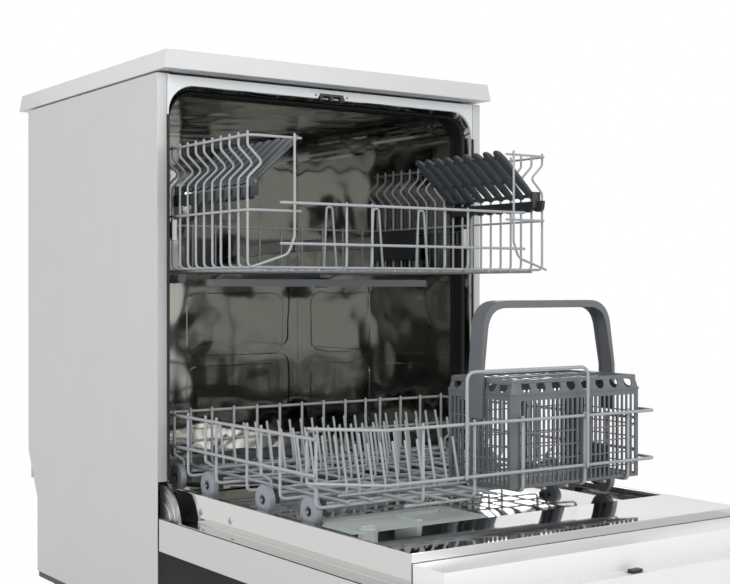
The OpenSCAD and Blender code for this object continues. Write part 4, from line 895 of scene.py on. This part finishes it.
def octagon(inset):
    """The basket's plan, moved inwards by a number of millimetres."""
    left, right, front, rear = X0 + inset, X1 - inset, Y0 + inset, Y1 - inset
    cut = CORNER - inset * CUT_LOSS
    return [Vector(p) for p in ((left + cut, front), (right - cut, front),
                                (right, front + cut), (right, rear - cut),
                                (right - cut, rear), (left + cut, rear),
                                (left, rear - cut), (left, front + cut))]


def rectangle(left, right, low, high):
    """The outline of a slot or a plain wall."""
    return [(left, low), (right, low), (right, high), (left, high)]


outer = octagon(WALL / 2)
leaning = octagon(WALL / 2 + 6)
walls = []
for k in range(8):
    start, end = outer[k], outer[(k + 1) % 8]
    length = (end - start).length
    along = (end - start) / length
    height = LEDGE - Z0
    edge = rectangle(-LAP, length + LAP, 0, height)
    holes = []
    if k in (FRONT, RIGHT, REAR, LEFT):
        count = int((length - 4) / SLOT_PITCH)
        first = (length - SLOT_PITCH * count) / 2 + 1.5
        middle = WHEEL_Y[0] - start.y
        notch = (middle - NOTCH_HALF, middle + NOTCH_HALF)
        if k == RIGHT:
            edge = [(-LAP, 0), (notch[0], 0), (notch[0], NOTCH_TOP), (notch[1], NOTCH_TOP),
                    (notch[1], 0), (length + LAP, 0), (length + LAP, height), (-LAP, height)]
        for i in range(count):
            u = first + SLOT_PITCH * i
            beside = k != RIGHT or u + 8 < notch[0] or u - 2 > notch[1]
            for low, high in ROWS:
                if low > NOTCH_TOP - 1 or beside:
                    holes.append(rectangle(u, u + SLOT_WIDTH, low, high))
    walls.append(stand(plate([edge] + holes, WALL), (*start, Z0), (*along, 0), (0, 0, 1)))
print("slotted and plain walls:", len(walls))

# %% [markdown]
# The band leans inwards like a funnel, so each of its eight plates is a trapezium that is
# tilted about its lower edge. Its round holes are outlines of the same plate, which leaves a
# cleaner mesh than cutting them with a boolean.

# %% Basket band and ledge
BAND_HOLE = 8
BAND_MIDDLES = {FRONT: [(i - 3.5) * 27 for i in range(8)], RIGHT: [-48, -25, 25, 48]}
BAND_MIDDLES[REAR], BAND_MIDDLES[LEFT] = BAND_MIDDLES[FRONT], BAND_MIDDLES[RIGHT]

for k in range(8):
    start, end = outer[k], outer[(k + 1) % 8]
    along = (end - start).normalized()
    rise = Vector((*(leaning[k] - start), TOP - LEDGE))
    rise -= Vector((*along, 0)) * rise.dot(Vector((*along, 0)))
    lean = [(p - start).dot(along) for p in (leaning[k], leaning[(k + 1) % 8])]
    length, height = (end - start).length, rise.length
    edge = [(-LAP, 0), (length + LAP, 0), (lean[1] + LAP, height), (lean[0] - LAP, height)]
    holes = [circle(length / 2 + middle, height / 2, BAND_HOLE, 18)
             for middle in BAND_MIDDLES.get(k, [])]
    walls.append(stand(plate([edge] + holes, WALL), (*start, LEDGE), (*along, 0), rise))
walls.append(stand(plate([octagon(-1.2), octagon(2)], 2.2), (0, 0, LEDGE), (1, 0, 0),
                   (0, 1, 0)))
print("walls with the band and the ledge:", len(walls))

# %% [markdown]
# The floor is a slotted plate whose outline steps round the notch, and thin blocks close the
# notch off from the basket's inside. Two strips and a bar under the handle frame both lids.

# %% Basket floor, wheel notch and lid frame
NOTCH_X, NOTCH_WALL, NOTCH_ROOF = 238.4, 2.4, 269
HANDLE_Y = -345.7

near, far = WHEEL_Y[0] - NOTCH_HALF, WHEEL_Y[0] + NOTCH_HALF
side_x = X1 - 1
bottom = octagon(1)
notch_corners = [Vector(p) for p in ((side_x, near), (NOTCH_X, near), (NOTCH_X, far),
                                     (side_x, far))]
floor_slots = [rectangle(x, x + 6, y, y + 52) for x in range(X0 + 11, X0 + 227, 12)
               for y in (Y0 + 12, Y0 + 78)]
walls.append(stand(plate([bottom[:3] + notch_corners + bottom[3:]] + floor_slots, 2.4),
                   (0, 0, Z0 + 1.2), (1, 0, 0), (0, 1, 0)))
for low, high in (
        ((NOTCH_X - NOTCH_WALL, near - NOTCH_WALL, Z0), (NOTCH_X, far + NOTCH_WALL, NOTCH_ROOF)),
        ((238, near - NOTCH_WALL, Z0), (side_x, near, NOTCH_ROOF)),
        ((238, far, Z0), (side_x, far + NOTCH_WALL, NOTCH_ROOF)),
        ((238, near - NOTCH_WALL, 266.8), (side_x, far + NOTCH_WALL, NOTCH_ROOF))):
    walls.append(block(low, high, 0.3))
for x in (X0 + 2.4, X1 - 12):
    walls.append(block((x, Y0 + 9, TOP - 6.5), (x + 9.6, Y1 - 9, TOP - 0.5), 0.5))
walls.append(block((X0 + 4, HANDLE_Y - 2.2, TOP - 6.5), (X1 - 4, HANDLE_Y + 2.2, TOP), 0.6))
basket = merged("basket_moulding", walls)
add_piece("basket_moulding", basket, slate_pp, "basket", "cutlery_basket", "basket_long_walls",
          "basket_end_walls")
print("basket faces:", len(basket.polygons))

# %% [markdown]
# The handle is a strap moulded as a channel: a flat outer face with a rib along each edge. Its
# section is carried along a path with wide bends. A curve with a bevel object could do that
# too, but the ribs grow deeper towards the grip, so each ring gets its own depth.

# %% Basket handle
GRIP_Z, RIBS_GROW_Z = 490.2, 430
CHANNEL = [(-14, -0.6), (-13.4, 0), (13.4, 0), (14, -0.6), (14, -5.4), (13.4, -6), (12, -6),
           (11.5, -5.4), (11.3, -2.4), (-11.3, -2.4), (-11.5, -5.4), (-12, -6), (-13.4, -6),
           (-14, -5.4)]

path = bend([(5.9, HANDLE_Y, 335), (5.9, HANDLE_Y, 400), (13, HANDLE_Y, GRIP_Z),
             (236, HANDLE_Y, GRIP_Z), (250.1, HANDLE_Y, 400), (250.1, HANDLE_Y, 335)], 38, 10)
rings = []
for k, point in enumerate(path):
    ahead = (path[min(k + 1, len(path) - 1)] - path[max(k - 1, 0)]).normalized()
    out = ahead.cross(Vector((0, 1, 0)))
    deep = 1 + 0.7 * max(0, min(1, (point.z - RIBS_GROW_Z) / 60))
    rings.append([point + Vector((0, w, 0)) + out * ((n if n > -3 else n * deep) + 3)
                  for w, n in CHANNEL])
handle = merged("basket_strap", [loft(rings)])
add_piece("basket_strap", handle, slate_pp, "basket", "basket_handle")
print("handle rings:", len(rings))

# %% [markdown]
# ## Upper rack fittings
#
# Dark mouldings are clipped to the side wires: a comb that stiffens them, two ears for the cup
# shelf's axle, and behind them a bracket with the glides that run in the rail. Flat ones are
# plates and blocks, round ones are spun, and all of them are joined into one piece.

# %% Combs, brackets and glides
def scallops(start, end, low, high, pitch, depth):
    """The outline of a strip whose lower edge is a row of round teeth."""
    outline = [(end, high), (start, high)]
    count = round((end - start) / pitch)
    for i in range(count):
        middle = start + (i + 0.5) * (end - start) / count
        for j in range(7):
            a = math.pi * (1 + j / 6)
            outline.append((middle + 0.42 * pitch * math.cos(a), low + depth * math.sin(a)))
    return outline


COMB_X, COMB_Z, COMB_THICK, TOOTH = 257.2, (634, 645), 5.6, 6
EAR_X, EAR_THICK, EAR_Z = (244, 260), 2.9, (634, 659)
BRACKET_X, BRACKET_Y, BRACKET_Z = (254.2, 260.4), (121.5, 248), (560, 612)
GLIDE = [(CORE, 0), (3, 0), (3, 7.4), (9.2, 7.4), (9.5, 7.8), (9.5, 11.2), (9.2, 11.7),
         (CORE, 11.7)]

fittings = []
for side in (-1, 1):
    comb = plate([scallops(-204, 29.2, *COMB_Z, SIDE_PITCH, TOOTH)], COMB_THICK)
    fittings.append(stand(comb, (side * COMB_X, 0, 0), (0, 1, 0), (0, 0, 1)))
    for y in (-193.7, 21.3):
        fittings.append(side_block(side, EAR_X, (y, y + EAR_THICK), EAR_Z, 1))
    fittings.append(side_block(side, BRACKET_X, BRACKET_Y, BRACKET_Z, 1.5))
    for y in (135.7, 233.7):
        fittings.append(turned(GLIDE, (side * 260.2, y, 594), (side, 0, 0), 32))
fitting_piece = add_piece("upper_rack_fittings", merged("upper_rack_fittings", fittings),
                          black_pp, "upper_rack")
print("fittings:", len(fittings))

# %% [markdown]
# Water comes to the upper spray arm through a flat pipe under the rack's floor. One section is
# lofted along it and drawn in at both ends, as a mould would round them, and a turned hub hangs
# below it.

# %% Feed pipe
PIPE = [(-13, 0), (-12, 2.6), (-9, 4), (9, 4), (12, 2.6), (13, 0), (12, -2.6), (9, -4),
        (-9, -4), (-12, -2.6)]
PIPE_Z, PIPE_FRONT, PIPE_REAR = 528.5, 12, 264
HUB = [(CORE, 0), (9.6, 0), (10, 0.5), (10, 18), (CORE, 18)]

pipe_parts = [loft([[(w * s, y, PIPE_Z + n * s) for w, n in PIPE]
                    for y, s in ((PIPE_FRONT, 0.6), (15, 0.95), (20, 1), (258, 1),
                                 (PIPE_REAR, 0.9))])]
pipe_parts.append(turned(HUB, (0, 29, PIPE_Z - 18), (0, 0, 1), 32))
pipe_piece = add_piece("feed_pipe", merged("feed_pipe", pipe_parts), slate_pp, "upper_rack")
print("feed pipe length:", PIPE_REAR - PIPE_FRONT, "mm")

# %% [markdown]
# ## Cup shelves
#
# Each shelf is a comb of fat paddles on one axle. A paddle is crowned and widest near its round
# tip, so it is skinned over rings that follow that outline.

# %% Cup shelves
AXLE_X, AXLE_Z, TILT = 250, 653, math.radians(42)
AXLE_RADIUS, AXLE_LENGTH, AXLE_FRONT = 2.9, 220, -194.7
PADDLES, PADDLE_FRONT = 9, -182.75
# A paddle's rings: the distance from the axle, half the width, and the thickness.
PADDLE = ((-5, 4.5, 4.0), (-3, 6.0, 6.4), (4, 7.4, 7.6), (20, 8.8, 8.2), (50, 9.8, 8.8),
          (82, 10, 8.2), (92, 8.6, 6.8), (96.5, 6.0, 4.8), (98, 3.4, 2.6))
BAR_WIDE, BAR_THICK = 6, 3


def shelf(side):
    """The paddles, the axle and the cross bars of one shelf: side is -1 on the left."""
    out = Vector((-side * math.cos(TILT), 0, math.sin(TILT)))
    up = Vector((side * math.sin(TILT), 0, math.cos(TILT)))
    axle = Vector((side * AXLE_X, 0, AXLE_Z))
    across = Vector((0, 1, 0))
    parts = []
    for k in range(PADDLES):
        root = axle + across * (PADDLE_FRONT + SIDE_PITCH * k)
        rings = []
        for reach, half, thick in PADDLE:
            ring = []
            for j in range(12):
                a = 2 * math.pi * j / 12
                wide = math.copysign(abs(math.cos(a)) ** 0.7, math.cos(a)) * half
                high = math.copysign(abs(math.sin(a)) ** 0.8, math.sin(a)) * thick / 2
                ring.append(root + out * reach + across * wide + up * high)
            rings.append(ring)
        parts.append(loft(rings))
    corners = rectangle(-BAR_WIDE / 2, BAR_WIDE / 2, -BAR_THICK / 2, BAR_THICK / 2)
    for reach in (84, 34):
        parts.append(loft([[axle + across * y + out * (reach + w) + up * h for w, h in corners]
                           for y in (-182.7, 13.2)]))
    parts.append(turned([(CORE, 0), (AXLE_RADIUS, 0), (AXLE_RADIUS, AXLE_LENGTH),
                         (CORE, AXLE_LENGTH)], axle + across * AXLE_FRONT, (0, 1, 0), 20))
    return parts


for name, side in (("left", -1), ("right", 1)):
    paddles = merged(f"{name}_cup_paddles", shelf(side), 50)
    add_piece(f"{name}_cup_paddles", paddles, shelf_pp, f"{name}_shelf", f"cup_shelf_{name}")
    print(name, "shelf faces:", len(paddles.polygons))

# %% [markdown]
# ## Small steel parts
#
# Two screws hold each side of the liner, and two ribs are pressed into each curved hinge plate.
# They are too small to weigh, but their highlights show that the sheet is thin.

# %% Screws and hinge ribs
SCREW_HEAD = [(0.6, 0.1), (1.5, 0.3), (1.7, 1.3), (3.6, 1.1), (4.6, 0.2), (4.6, -0.5),
              (0.6, -0.5)]
HINGE_Y, HINGE_Z, PLATE_X = 6, 172, 289.4
RIBS = ((45, 100, 178), (30, 95, 172))  # radius round the hinge, first and last angle

screws = [turned(SCREW_HEAD, (side * 272, y, 198), (side, 0, 0), 20)
          for side in (-1, 1) for y in (-82.6, -165.6)]
screw_piece = add_piece("liner_screws", merged("liner_screws", screws), zinc, "door")
ribs = [[(side * PLATE_X, HINGE_Y + radius * math.cos(math.radians(a)),
          HINGE_Z + radius * math.sin(math.radians(a))) for a in range(first, last, 6)]
        for side in (-1, 1) for radius, first, last in RIBS]
rib_piece = wires("hinge_plate_ribs", ribs, 2.6, zinc, "door")
print("screws:", len(screws))
